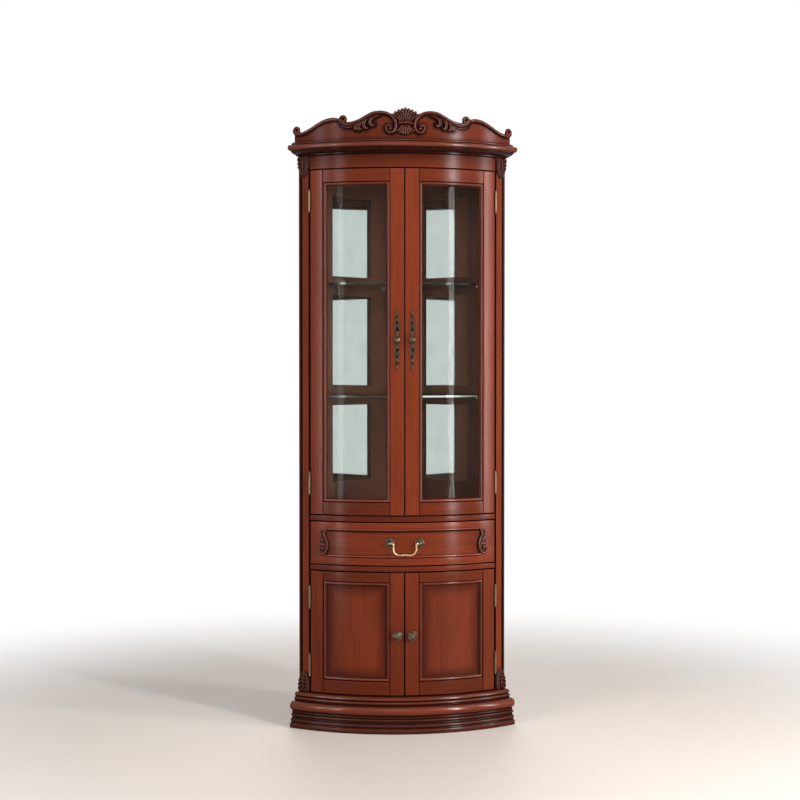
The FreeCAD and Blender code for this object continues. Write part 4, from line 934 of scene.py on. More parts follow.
def carve(strands, finish, radius=FACE, wrap=1.0):
    """Sweeps strands. Each is a list of (along, up, forward, thick) in millimetres."""
    along, up, forward, thick = np.concatenate(strands).T * MM
    ends = np.cumsum([len(strand) for strand in strands])
    edges = [(spot, spot + 1) for spot in range(len(along) - 1) if spot + 1 not in ends]
    lines = mesh_of(np.stack([along, -forward, up], axis=1), [], edges)
    attach(lines, "thick", "FLOAT", thick)
    return run_tree(swept_strands, lines, {"Bow radius": radius, "Wrap": wrap, "Finish": finish})


def other_hand(strands):
    """The same strands on the other side of the middle."""
    return [[(-along, *rest) for along, *rest in strand] for strand in strands]


print("sides of a swept strand:", SECTION_POINTS)

# %% [markdown]
# ## The crest: rolls, scrolls and leaves
#
# The crest board ends in a rounded roll along its top edge. Each half of the roll starts in a small curl
# at the far end, climbs over a shoulder and stops against a second curl. There the main scroll begins:
# it rises over the peak and winds down beside the shell into a volute with a round eye. Leaf fingers
# hang below it. Spirals are worked out from their eye, the rest is drawn as a few points.

# %% The roll and the scroll of the right half
CURL_STEPS = 13
BUTTON = (47.5, 1929.5)


def curl(eye, angles, *runs):
    """Points that wind about an eye. Reach, forward and thickness follow lists of values along the turn."""
    share = np.linspace(0, 1, CURL_STEPS)
    turn = np.radians(np.linspace(*angles, CURL_STEPS))
    reach, forward, thick = (np.interp(share, np.linspace(0, 1, len(run)), run) for run in runs)
    return np.stack([eye[0] + reach * np.cos(turn), eye[1] + reach * np.sin(turn), forward, thick], axis=1)


edge_roll = [
    (214, 1957, 1.5, 1.5), (216, 1960.5, 1.8, 4.6), (222, 1963, 1.8, 6.0), (236, 1964.3, 1.8, 6.3),
    (250, 1962.8, 1.8, 6.4), (264, 1959.3, 1.8, 6.4), (287, 1949.5, 1.8, 6.3), (314, 1936, 1.8, 6.0),
    (335, 1928, 2.2, 5.6), (349, 1924.4, 2.6, 5.3)]
end_curl = curl((364.5, 1935.5), (-100, 400), (11, 10.6, 10, 8.6, 5.4, 1.8), (3, 4, 7), (5.2, 4.9, 4.2))
right_roll = [[*edge_roll, *end_curl]]
volute = [
    (48.5, 1931.5, 11, 2.0), (48.5, 1935, 11, 6.2), (51, 1940.5, 10, 4.6), (57, 1941, 9, 4.2),
    (61.2, 1934.5, 8, 4.4), (58.8, 1924, 7, 4.7), (49, 1917.3, 6.5, 5.0), (37.5, 1920.5, 6.2, 5.2),
    (31, 1931, 6, 5.2), (29.8, 1944, 6, 5.3)]
rise = [
    (33, 1957, 5.8, 5.5), (42, 1968.5, 5.5, 5.7), (56, 1976.8, 5.2, 5.9), (70, 1980.8, 5, 6.0),
    (86, 1981.4, 5, 6.1), (105, 1978, 4.8, 6.1), (125, 1968.3, 4.6, 5.9), (146, 1957.5, 4.4, 5.5),
    (165, 1951.5, 4.2, 5.2), (182, 1949.5, 4, 5.0)]
second_curl = curl((199, 1962), (-95, 400), (11.4, 10.4, 9.6, 8.2, 5.2, 1.8), (4.2, 5, 7.5), (5.2, 4.9, 4.2))
half_button = [(-6.6, 1.4), (-5, 4.6), (-2.4, 6.6), (0, 7.2)]
button = [
    (BUTTON[0], BUTTON[1] + step, 7 - 0.03 * step ** 2, thick)
    for step, thick in [*half_button, *[(-step, thick) for step, thick in half_button[-2::-1]]]]
right_scroll = [[*volute, *rise, *second_curl], button]
print("points in a main scroll:", len(right_scroll[0]))

# %% The leaf fingers of the right half
FINGER_FORWARD = np.array((2, 4.5, 6.5, 6.5, 6, 6, 5))
FINGER_THICK = np.array((1.6, 3.0, 3.7, 3.7, 3.8, 4.6, 1.0))
FINGER_PARTING = 2.7 * np.array((0.3, 0.9, 1.0, 0.9, 0.5, 0.0, 0.0))
fingers = [
    [(80, 1974.5), (98, 1968.5), (110, 1958.5), (111, 1947), (105.5, 1940), (99, 1941.5), (97.5, 1944.5)],
    [(106, 1973), (123.5, 1962.5), (131.5, 1950.5), (131, 1938.5), (126, 1931.8), (120.5, 1932.8),
     (119, 1935.5)],
    [(126, 1964.6), (141.5, 1953.5), (148, 1942.5), (147.3, 1933), (143.3, 1928), (139, 1929), (138, 1931.5)],
    [(144, 1956), (154.5, 1945.5), (158.5, 1937), (157.5, 1931), (154.6, 1928.4), (151.8, 1929.8),
     (151.4, 1931.8)],
]
under_leaf = [
    [(154, 1953, 2.5, 1.4), (164, 1947, 3.4, 3.4), (176, 1944, 3.6, 3.9), (190, 1944.3, 3.4, 3.7),
     (203, 1948.5, 2.8, 3.0), (212.5, 1955, 2, 1.2)],
    [(157, 1943.5, 2, 1.2), (166, 1939, 2.6, 2.4), (178, 1936.6, 2.8, 2.8), (193, 1938, 2.4, 2.4),
     (207, 1945.5, 1.6, 1.0)],
]


def channelled(finger):
    """A finger as two ridges with a hollow between them. They part at the root and meet in a round tip."""
    spots = np.array(finger, float)
    heading = np.gradient(spots, axis=0)
    heading /= np.linalg.norm(heading, axis=1, keepdims=True)
    parting = FINGER_PARTING[:, None] * np.stack([heading[:, 1], -heading[:, 0]], axis=1)
    return [
        np.column_stack([spots + side * parting, FINGER_FORWARD, share * FINGER_THICK])
        for side, share in ((1, 0.8), (-1, 0.72))]


right_scroll += under_leaf + [ridge for finger in fingers for ridge in channelled(finger)]
print("strands in a carved scroll:", len(right_scroll))

# %% Both halves carved
CREST_FACE = 585 * MM
# Each half of the carving is painted: dark shade on the flanks of its ridges and light on their crowns.
for hand, strands in (("right", right_scroll), ("left", other_hand(right_scroll))):
    ridges = carve(strands, carved_mahogany, CREST_FACE)
    paint_ridge_light_and_shade(ridges, 0.12, 0.97)
    place(f"{hand}_carved_scroll", ridges, "carcass", nodes=[f"{hand}_crest_scroll"], run="round", **CARVED)
# The rolls are painted the same way, with their free tops painted light.
rolls = carve(right_roll + other_hand(right_roll), moulded_mahogany, CREST_FACE)
paint_ridge_light_and_shade(rolls, 0.3, 0.95, lit_top=True)
place("crest_edge_rolls", rolls, "carcass", run="round", **MOULDED)
print("roll faces:", len(rolls.polygons))

# %% The top edge of the board behind the carving, in front and at the back
scroll_top = [spot[:2] for spot in rise[3:9]]
roll_top = [spot[:2] for spot in edge_roll[2:8]]
board_top = [
    (0, 1986), (24, 1984), (34, 1977), (42, 1973), (56, 1977.5), *scroll_top, (186, 1951.5), (190.5, 1963),
    (193.5, 1968), (199, 1970.5), (204.5, 1968), (208, 1962), (212, 1957), (216, 1960), *roll_top,
    (335, 1928.3), (350, 1924.8), (355, 1928), (357, 1938), (360, 1942.5), (364.5, 1944), (369, 1942.5),
    (373, 1938), (376, 1930)]
rear_top = [(0, 1940), (60, 1975), (184, 1950), (212, 1954), (236, 1962), (348, 1924), (376, 1922)]
print("the board ends at", board_top[-1][0], "mm from the middle")

# %% Shade beside the carving
# Shade of the ground by its distance in millimetres from the nearest strand.
GROUND_SHADE = [(6, 0.96), (8.5, 0.8), (12, 0.4), (20, 0.22)]


def depth_of_shade(along, up, strands):
    """How dark the ground beside the strands is painted, as shade: near black, fading out over a few
    millimetres.
    """
    nearest = np.full(len(along), np.inf)
    for strand in strands:
        spots = np.array(strand)[:, :2]
        steps = np.linspace(0, len(spots) - 1, len(spots) * LINE_STEPS)
        for spot in zip(*[np.interp(steps, np.arange(len(spots)), values) for values in spots.T]):
            nearest = np.minimum(nearest, np.hypot(along - spot[0], up - spot[1]))
    return np.interp(nearest, *zip(*GROUND_SHADE))


print("shade fades out", GROUND_SHADE[-1][0], "mm from a strand")

# %% The board behind the carving
CREST_DEPTH = 22 * MM
CREST_FOOT = 1900
CREST_ALONG = np.linspace(-376, 376, 281)
# How far below the top of the board each row of its points lies, down to the foot at the lowest.
ROWS_BELOW = np.array([90, 72, 60, 52, 45, 39, 34, 29, 25, 21, 17.5, 14.5, 12, 10, 8, 5, 0])[:, None]
ROW_GAP = 0.3
# Points within this of a face belong to it.
ON_FACE = 0.5 * MM


def crest_strip():
    """The crest board: its top follows the rolls, and its ends stop at the walls."""
    top, rear = (np.interp(np.abs(CREST_ALONG), *zip(*line)) for line in (board_top, rear_top))
    lowest = CREST_FOOT + np.arange(len(ROWS_BELOW))[:, None] * ROW_GAP
    sheets = []
    for crown, depth in ((top, 0.0), (np.minimum(top, rear), -CREST_DEPTH)):
        level = np.maximum(crown - ROWS_BELOW, lowest)
        sheets.append(wrapped(CREST_ALONG * MM, level * MM, depth, CREST_FACE))
    board = eased(closed_sheet(*sheets), EASED)
    turn, reach, z = bowed(board)
    # The front is painted dark as shade beside the strands and the back evenly; by level, the board is
    # painted darker at its foot and a little darker overall, as shade.
    shade = depth_of_shade(np.abs(turn) * CREST_FACE / MM, z / MM, right_scroll + right_roll)
    paint_glaze_and_shade(board, np.where(reach > CREST_FACE - ON_FACE, shade, BEHIND))
    paint_glaze_and_shade_by_level(board, [(1900, 0.6), (1906, 0.4), (1915, 0.34), (1960, 0.34)])
    return board


crest_board = crest_strip()
place("finished_crest_board", crest_board, "carcass", nodes=["crest_board"], run="round", **OUTSIDE)
print("crest board faces:", len(crest_board.polygons))

# %% [markdown]
# ## The shell
#
# The middle of the crest is a shell: a tall fan of rounded lobes, a clasp at its waist and a smaller fan
# below. Each lobe is a strand that bends outwards and swells towards a round tip, so the same tree makes
# it. The lobes stand side by side in the clasp, and the gaps between them are painted dark as shade. A
# thick core stands behind the lobes, since the real carving is one solid block; its front is painted near
# black as the shade between the lobes.

# %% Lobes and slabs
SHELL_WAIST = 1948
LOBE_RUN = np.array((0.06, 0.3, 0.55, 0.78, 0.92, 1.0))
LOBE_SWELL = np.array((0.4, 0.55, 0.75, 0.95, 1.0, 0.55))
LOBE_LIFT = np.array((0.6, 0.9, 1.0, 1.05, 1.05, 0.95))


def fan(tips, thick, lift):
    """Lobes from the waist to each tip (along, up) and its twin, bending outwards on their way."""
    both = [(side * along, up) for along, up in tips for side in ((1, -1) if along else (1,))]
    bend = 0.4 + 0.6 * LOBE_RUN ** 2.2
    return [
        np.stack([along * bend, SHELL_WAIST + up * LOBE_RUN, lift * LOBE_LIFT, thick * LOBE_SWELL], axis=1)
        for along, up in both]


def slab(outline, back, front, radius):
    """A flat outline of (along, up) in millimetres, thickened and wrapped round the bow."""
    along, up = np.array(outline).T * MM
    return body_between(*[wrapped(along, up, depth * MM, radius) for depth in (front, back)])


print("points in a lobe:", len(LOBE_RUN))

# %% Lobes, clasp and core of the shell
upper_fan = fan([(0, 48), (12, 45), (23.5, 41), (34.5, 35), (43.5, 27)], 5.0, 9.5)
lower_fan = fan([(0, -39), (10, -38), (19.5, -34.5), (27.5, -28)], 4.2, 7.0)
half_clasp = [(-23, -1.5, 8, 1.0), (-20.5, -1.5, 10, 4.4), (-14, 0, 10, 3.8), (0, 0.5, 11, 4.6)]
clasp = [(along, SHELL_WAIST + up, *rest) for along, up, *rest in half_clasp]
clasp += other_hand([clasp[-2::-1]])[0]
core_right = [
    (0, 47), (9.5, 44), (18.5, 40), (29, 35.5), (40, 28), (31, 12), (22, 2), (22, -3), (24, -16), (25, -26),
    (19, -33), (11, -35.5), (0, -36)]
core = [(along, SHELL_WAIST + up) for along, up in core_right]
core += other_hand([core[-2:0:-1]])[0]
shell_lobes = carve([*upper_fan, *lower_fan, clasp], carved_mahogany, CREST_FACE)
# Painted shade on the flanks of the lobes and painted light on their crowns.
paint_ridge_light_and_shade(shell_lobes, 0.2, 0.98)
shell_core = slab(core, -20, 3, CREST_FACE)
# The front of the core is painted near black as shade between the lobes; its back gets an even glaze.
paint_glaze_and_shade(shell_core, np.where(np.arange(len(shell_core.vertices)) < len(core), 0.95, BEHIND))
shell = joined(shell_lobes, shell_core)
place("carved_shell", shell, "carcass", nodes=["crest_shell"], run="round", **CARVED)
print("shell lobes:", len(upper_fan) + len(lower_fan))

# %% [markdown]
# ## The front posts
#
# Each post shows a narrow front that follows the bow. A dark groove splits it into a plain inner strip
# and a rounded outer strip beside the wall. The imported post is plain, so its plan is drawn again with
# the groove and the rounding, and pulled up to its height. The post keeps its place and its back.
# A short block on its head closes the gap behind the cornice, up to the top board.

# %% Plans of a post and its block
POST_FRONT = 560
GROOVE_ANGLE = 35.95
CORNICE_BACK = 537.4
# Plans of the right post and its block: angle in degrees and radius in millimetres of each corner.
plan_back = [(36.452, 509.03), (32.8, 515.0)]
block_plan = [(32.8, CORNICE_BACK), (math.degrees(wall_angle(CORNICE_BACK * MM)), CORNICE_BACK), *plan_back]
inner_strip = [(32.8, 555.5), (33.0, 555.5), (33.14, 559.4), (33.22, POST_FRONT)]
groove = [(-0.34, 0), (-0.2, 4.0), (0.12, 4.0)]
outer_strip = [(0.25 + share * 1.03, 2.2 * (2 * share - 1) ** 2) for share in np.linspace(0, 1, 7)]
grooved_front = [(GROOVE_ANGLE + turn, POST_FRONT - cut) for turn, cut in [*groove, *outer_strip]]
post_plan = [*inner_strip, *grooved_front, *plan_back]
print("corners in the plan of a post:", len(post_plan))

# %% Posts with a groove
POST_FOOT, POST_HEAD = (corner.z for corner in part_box("right_front_post"))
POST_EDGE = 0.25 * MM
# Painted shade fills the rebate beside the door and ends where the face begins.
REBATE_ANGLES = (33.08, 33.2)
REBATE_SHADE = (0.98, 0.16)


def pulled_up(plan, side, low, high):
    """A plan pulled up into a closed body, on the right or left side."""
    angles, radii = np.array(plan).T
    return body_between(*[polar(side * np.radians(angles), radii * MM, level) for level in (low, high)])


for hand, side in SIDES:
    block = pulled_up(block_plan, side, POST_HEAD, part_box("top_board")[0].z)
    place(f"{hand}_post_head_block", block, "carcass", run="up", **OUTSIDE)
    post = eased(pulled_up(post_plan, side, POST_FOOT, POST_HEAD), POST_EDGE)
    # Painted shade in the gaps beside the post and in the rebate.
    paint_shade_in_gaps(post)
    paint_glaze_and_shade(post, np.interp(np.degrees(np.abs(bowed(post)[0])), REBATE_ANGLES, REBATE_SHADE))
    place(f"{hand}_grooved_post", post, "carcass", nodes=[f"{hand}_front_post"], run="up", **OUTSIDE)
print("posts from", round(POST_FOOT, 3), "to", round(POST_HEAD, 3))

# %% [markdown]
# ## Leaf carvings at the heads and feet of the posts
#
# A carved acanthus leaf sits at each end of each post, hanging down at the head and standing up at the
# foot. Its body is a low swelling form, worked out as a height over a grid. On it lie a middle stem, two
# curls at the root and pairs of fingers with hooked tips. The fingers are strands again, and the body
# between them is painted near black as the shade in the hollows.

# %% Fingers of a leaf
# Each finger is (across, from the root, forward, thick) in millimetres.
leaf_stem = [
    (0, 2, 7, 2.2), (0, 12, 9, 3.0), (0, 28, 9, 2.8), (0, 46, 7.5, 2.4), (0, 60, 6, 1.8), (0, 68, 5, 0.8)]
leaf_curl = [
    (2, 24, 7, 1.0), (7.5, 21, 8, 2.2), (13.5, 16.5, 8.5, 2.7), (16, 9.5, 8.5, 2.7), (12.5, 4, 8.5, 2.6),
    (7.5, 5.5, 9, 2.5), (7.5, 10.5, 9.5, 2.7), (10.5, 11, 10, 1.2)]
leaf_pairs = [
    [(1.5, 36, 6.5, 1.0), (6.5, 33.5, 7.5, 2.2), (12.5, 29.5, 7.5, 2.8), (16.2, 24, 7.5, 2.6),
     (14.8, 20.5, 7.5, 2.5), (12.2, 22, 7.8, 1.2)],
    [(1.5, 48, 6, 1.0), (6, 45.5, 7, 2.1), (11.5, 41.5, 7, 2.7), (15, 36, 7, 2.5), (13.6, 32.5, 7, 2.4),
     (11.2, 34, 7.2, 1.2)],
    [(1.2, 58.5, 5, 0.9), (4.6, 56.5, 6, 1.9), (9, 52.5, 6, 2.4), (11.8, 47.5, 6, 2.2), (10.6, 44.5, 6, 2.1),
     (8.6, 46, 6.2, 1.0)],
    [(1, 66.5, 4, 0.8), (3.2, 65, 5, 1.5), (6, 62, 5, 1.9), (7.8, 58, 5, 1.8), (6.9, 55.8, 5, 1.6),
     (5.6, 57, 5, 0.8)],
]
leaf_lines = [leaf_stem]
for finger in (leaf_curl, *leaf_pairs):
    leaf_lines += [finger, *other_hand([finger])]
print("strands in a leaf:", len(leaf_lines))

# %% The body and the strands of a leaf
LEAF_MIDDLE = 342.2
LEAF_LENGTH = 68
LEAF_HALF = 23
LEAF_SPREAD = 1.2
LEAF_LIFT = 0.72
LEAF_ROWS, LEAF_COLUMNS = 40, 31
# Steps along a leaf where its half width is given, and the swell of its body.
LEAF_RUN = (0, 0.1, 0.3, 0.5, 0.7, 0.85, 0.95, 1)
LEAF_SWELL = [(0, 4.5), (0.2, 5.5), (0.55, 4.5), (0.8, 3.5), (1, 2)]


def leaf_body(shape, root, direction, side):
    """The low body of a leaf. It grows from its root level up or down, on the right or left side."""
    run, across = np.meshgrid(np.linspace(0, 1, LEAF_ROWS), np.linspace(-1, 1, LEAF_COLUMNS), indexing="ij")
    half = LEAF_HALF * np.interp(run, LEAF_RUN, shape)
    lift = 1 + np.interp(run, *zip(*LEAF_SWELL)) * (1 - np.abs(across) ** 2.6) ** 0.6
    along = side * (LEAF_MIDDLE + across * half) * MM
    up = (root + direction * run * LEAF_LENGTH) * MM
    return closed_sheet(wrapped(along, up, lift * MM), wrapped(along, up, -0.3 * MM))


def leaf_strands(root, direction, side):
    """The stem, curls and fingers of a leaf, laid out on the bow."""
    return [
        [(side * (LEAF_MIDDLE + LEAF_SPREAD * across), root + direction * run, LEAF_LIFT * forward, thick)
         for across, run, forward, thick in line]
        for line in leaf_lines]


print("a leaf is", LEAF_LENGTH, "mm long")

# %% One leaf, four times
# Share of the half width along a leaf at the head and at the foot of a post.
HEAD_SHAPE = (1, 1, 0.98, 0.9, 0.74, 0.5, 0.28, 0.05)
FOOT_SHAPE = (1, 1, 0.98, 0.95, 0.86, 0.66, 0.4, 0.06)
leaf_ends = ((HEAD_SHAPE, POST_HEAD / MM, -1), (FOOT_SHAPE, POST_FOOT / MM, 1))
leaf_places = [(*end, side) for end in leaf_ends for _, side in SIDES]
leaf_ground = joined(*[leaf_body(*where) for where in leaf_places])
# The body is painted near black as shade between the fingers.
paint_glaze_and_shade(leaf_ground, 0.92)
leaf_ridges = carve([line for _, *where in leaf_places for line in leaf_strands(*where)], carved_mahogany)
# Painted shade on the flanks of the fingers and painted light on their crowns.
paint_ridge_light_and_shade(leaf_ridges, 0.15, 0.98)
leaf_carvings = joined(leaf_ground, leaf_ridges)
leaf_carvings.shade_smooth()
place("leaf_carvings", leaf_carvings, "carcass", nodes=["post_carvings"], run="up", **CARVED)
print("leaf carvings:", len(leaf_places))

# %% [markdown]
# ## Beads and scrolls on the drawer
#
# The drawer front has a sunk field with a thin bead along its top and bottom edge. At each end the beads
# run into an upright scroll with small leaflets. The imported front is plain, so it is drawn again as a
# bowed sheet, sunk where the field lies. The ornament is strands again: the beads follow the bow from end
# to end, and the scroll is one winding line.

# %% The sunk field of the drawer front
FIELD_LOW, FIELD_HIGH = 560, 646.5
FIELD_DEPTH = 3 * MM
# Level and distance from the middle, along the end of the field.
FIELD_END = [
    (560, 246), (563, 249), (568, 262), (573, 261.5), (583, 256), (594, 254), (606, 255.4), (616, 259.6),
    (625, 264.8), (633, 265.6), (641, 262), (646.5, 257)]
# Glaze in the field, painted shadow by level along its top and bottom edges, painted shade towards its ends
# by distance from the middle, and glaze on the rim round it.
FIELD_GLAZE_AND_SHADE = [
    (560, 0.95), (563, 0.3), (568, 0.22), (576, 0.2), (632, 0.2), (640, 0.35), (643, 0.85), (646.5, 0.97)]
END_SHADE = [(150, 0), (215, 0.3), (255, 0.5)]
RIM_GLAZE = 0.14
print("the field is", FIELD_HIGH - FIELD_LOW, "mm high")

# %% The drawer front
DRAWER_ANGLE = math.radians(32.493)
DRAWER_DEPTH = 22 * MM
FIELD_SLOPE = 0.6
FIELD_STEPS = 61
RIM_STEPS = 9


def drawer_sheet():
    """The drawer front, with a sunk field whose ends follow the scrolls."""
    levels = np.array([
        535, 547, FIELD_LOW - 0.5, FIELD_LOW + 0.5, 563, 566, 570, 576, 583, 590, 597, 604, 611, 618, 625,
        632, 638, 643, FIELD_HIGH - 0.5, FIELD_HIGH + 0.5, 660, 673])
    end = np.interp(levels, *zip(*FIELD_END))[:, None]
    inside = (end - FIELD_SLOPE) * np.linspace(-1, 1, FIELD_STEPS)
    rim = end + FIELD_SLOPE
    right = rim + (DRAWER_ANGLE * FACE / MM - rim) * np.linspace(0, 1, RIM_STEPS)
    along = np.concatenate([-right[:, ::-1], inside, right], axis=1) * MM
    up = levels[:, None] * MM
    sunk = np.zeros(along.shape)
    sunk[(levels > FIELD_LOW) & (levels < FIELD_HIGH), RIM_STEPS:-RIM_STEPS] = FIELD_DEPTH
    board = eased(closed_sheet(wrapped(along, up, -sunk), wrapped(along, up, -DRAWER_DEPTH)), EASED_FRONT)
    # Painted shade in the gaps, and in the field by level and towards its ends.
    paint_shade_in_gaps(board)
    turn, reach, z = bowed(board)
    in_field = np.abs(reach - FACE + FIELD_DEPTH) < ON_FACE
    shade = np.interp(z / MM, *zip(*FIELD_GLAZE_AND_SHADE))
    ends = np.interp(np.abs(turn) * FACE / MM, *zip(*END_SHADE))
    paint_glaze_and_shade(board, np.where(in_field, np.maximum(shade, ends), RIM_GLAZE))
    return board


drawer_front = drawer_sheet()
place("finished_drawer_front", drawer_front, "drawer", nodes=["drawer_front"], run="round", **OUTSIDE)
print("drawer front faces:", len(drawer_front.polygons))

# %% Strands of its ornament
BEAD_END = 252
end_scroll = [
    (247, 650, 0, 2.4), (255.5, 648.5, 0.5, 3.0), (262, 641.5, 1, 3.6), (265.6, 633, 1.4, 4.0),
    (264.8, 625.5, 1.5, 4.2), (259.6, 616.5, 1.5, 4.4), (255.4, 606, 1.5, 4.5), (254, 594.5, 1.5, 4.5),
    (256, 583, 1.5, 4.4), (261.5, 573.3, 1.5, 4.2), (270.5, 568, 1.6, 4.0), (279.5, 570.8, 1.8, 3.8),
    (283.6, 579, 2, 3.6), (280.5, 587.5, 2.2, 3.4), (274, 588, 2.4, 3.4), (271, 582.5, 2.6, 3.6),
    (274, 578.8, 2.6, 1.6)]
end_foot = [(246, 563.6, -1.8, 3.2), (254, 563.8, -0.6, 3.0), (261, 565.5, 0.6, 2.8), (268, 566.8, 1, 1.4)]
upper_curl = [
    (263, 640, 1, 1.4), (269.5, 644, 1.6, 2.6), (276.5, 642, 1.9, 3.0), (279.5, 635.5, 2, 3.0),
    (276.3, 630.6, 2.2, 2.9), (271.8, 632.4, 2.4, 2.6), (273, 636.2, 2.5, 1.2)]
leaflets = [
    [(260.5, 609, 0.8, 1.4), (266, 613.5, 1.8, 2.8), (273, 619.5, 2, 3.0), (279.5, 625.5, 1.4, 1.2)],
    [(264, 606, 0.8, 1.2), (270, 609.5, 1.7, 2.6), (276.5, 614, 1.7, 2.6), (281.5, 619, 1.2, 1.0)],
    [(259, 597, 0.8, 1.2), (267, 598.5, 1.8, 3.0), (275, 598.5, 2, 3.2), (280.5, 602, 1.6, 2.4),
     (282.5, 607, 1.2, 1.0)],
]
right_end = [end_scroll, end_foot, upper_curl, *leaflets]
bead_lines = [
    [(along, *row) for along in np.linspace(-BEAD_END, BEAD_END, 25)]
    for row in ((649.4, 0.3, 3.5), (563.6, -0.9, 3.8))]
print("strands at each end of the drawer:", len(right_end))

# %% Ornament and beads of the drawer
# Level, inner and outer edge of the ground between the strands of one end.
GROUND_EDGES = np.array([
    (568, 262, 277), (574, 257, 281), (590, 255, 282), (604, 256, 282), (618, 260.5, 280.5),
    (630, 264.5, 278), (640, 262, 277), (645, 258, 270)])


def ornament_shade_skin(side):
    """The ground between the strands of one end, a skin on the face of the drawer painted dark as shade."""
    up, inner, outer = GROUND_EDGES.T[:, :, None] * MM
    along = side * (inner + (outer - inner) * np.linspace(0, 1, 9))
    skin = closed_sheet(wrapped(along, up, 0.35 * MM), wrapped(along, up, -0.5 * MM))
    paint_glaze_and_shade(skin, 0.66)
    return skin


ridges = carve(right_end + other_hand(right_end), carved_mahogany)
# Painted shade on the flanks of the ornament's strands and painted light on their crowns.
paint_ridge_light_and_shade(ridges, 0.0, 0.95)
drawer_ornament = joined(*[ornament_shade_skin(side) for _, side in SIDES], ridges)
drawer_ornament.shade_smooth()
place("drawer_ornament", drawer_ornament, "drawer", run="round", **CARVED)
beads = carve(bead_lines, moulded_mahogany)
# Painted shade on the lower flanks of the beads.
paint_ridge_light_and_shade(beads, 0.0, 0.72)
place("drawer_beads", beads, "drawer", run="round", **MOULDED)
print("drawer ornament faces:", len(drawer_ornament.polygons))

# %% [markdown]
# ## Turned and cast fittings
#
# Knobs and rosettes are turned: a profile of radius and reach, spun about an axis that points straight
# out of the front. Flutes can be pressed into any ring of the profile. The handle plates are pierced
# castings over a near-black sheet that is painted shade behind the wires. Their two beaded wires cross
# again and again between the knob and a bud at each tip, with a small knot beside each crossing. That is
# a rule, so the wires are worked out as waves and swept by the strand tree.

# %% A profile spun about an axis


def turned(profile, along, up, radius=FACE, flutes=0, steps=40):
    """A profile of (radius, reach, depth of any flutes) in millimetres, spun about an axis out of the bow."""
    angle = along * MM / radius
    seat = wrapped(along * MM, up * MM, 0.0, radius)
    sideways = np.array([math.cos(angle), math.sin(angle), 0])
    outwards = np.array([math.sin(angle), -math.cos(angle), 0])
    spin = np.linspace(0, 2 * math.pi, steps, endpoint=False)
    rings = []
    for ring, reach, *depth in profile:
        wide = (ring - sum(depth) * (0.5 - 0.5 * np.cos(flutes * spin))) * MM
        across, rise = np.outer(wide * np.cos(spin), sideways), np.outer(wide * np.sin(spin), [0, 0, 1])
        rings.append(seat + across + rise + outwards * reach * MM)
    mesh = outward(mesh_of(rings, tube(len(profile), steps)))
    mesh.shade_smooth()
    return mesh


handle_knob = [
    (0, -0.5), (10.2, -0.5), (10.4, 0.8, 0.8), (9.6, 2, 0.8), (8, 2.3), (6.6, 3.4), (4.6, 4.2), (3.8, 6.5),
    (4, 9), (6.2, 10.6), (8.8, 12.2), (9.5, 14.2), (9.2, 16.2), (8, 17.6), (7.2, 17.5), (6.6, 18.6),
    (4.6, 20.2), (2.2, 20.9), (0, 21)]
cupboard_knob = [
    (0, -0.5), (8.4, -0.5), (8.6, 1.2), (7.4, 2.6), (5.6, 3.6), (5, 6.5), (5.6, 9), (9, 11), (13.4, 13.2),
    (15, 16), (14.9, 18.4), (13.9, 20), (12.7, 19.8), (11.9, 18.2), (10.9, 17.2), (10.1, 18), (9.5, 20.2),
    (8.4, 21.6), (7.2, 21.8), (6.2, 20.6), (5.4, 20.2), (4.7, 21.6), (3.2, 23.4), (1.6, 23.9), (0, 24)]
print("rings of the knobs:", len(handle_knob), "and", len(cupboard_knob))

# %% Outline and parts of the wires
# Half width of the pierced outline by distance from the knob, and the distance between crossings.
WIRE_OUTLINE = [
    (8, 6.6), (12, 6.6), (22, 5.6), (33, 8), (44, 7), (54, 6), (64, 5.2), (73, 4.4), (81, 3.2), (86, 1.6)]
CROSSING = 21
WIDEST = 33
WIRE_STEPS = np.linspace(8, 86, 27)
FRILL = slice(6, 13)
KNOTS = [(-1, 0.8), (0, 0.62), (1, 0.66), (2, 0.6)]
KNOT_LINE = [(-4, 0.5), (-2, 1.3), (0, 1.7), (2, 1.3), (4, 0.5)]
# How far forward the wires, knots, frills, bud with heart, and collars lie.
WIRE, KNOT, FRILL_EDGE, MIDDLE, COLLAR = 1.5, 1.3, 1.0, 1.8, 1.6
BUD = [(84, 0.8), (87, 2.3), (90, 2.9), (93.5, 2.0), (96.5, 0.4)]
HEART = [(9, 1.2), (12, 2.4), (16, 2.0), (21, 0.9)]
COLLARS = [(24, 2.4), (44, 2.3), (66, 2.1), (83, 1.8)]
COLLAR_LINE = [(-2.2, 0.3), (-1.2, 0.9), (0, 1.0), (1.2, 0.9), (2.2, 0.3)]


def half_width(step):
    """Half the width of the pierced outline at a distance from the knob."""
    return np.interp(step, *zip(*WIRE_OUTLINE))


print("the wires reach", WIRE_OUTLINE[-1][0], "mm from the knob")

# %% The wires above a knob
# Mean thickness of a beaded wire and its swing from bead to bead.
WIRE_THICK, BEAD_SWING = 1.25, 0.6
# A frill stands off from the outline and is thin and thick by turns.
FRILL_OFF = 1.1
FRILL_THICK = (0.5, 1.4)


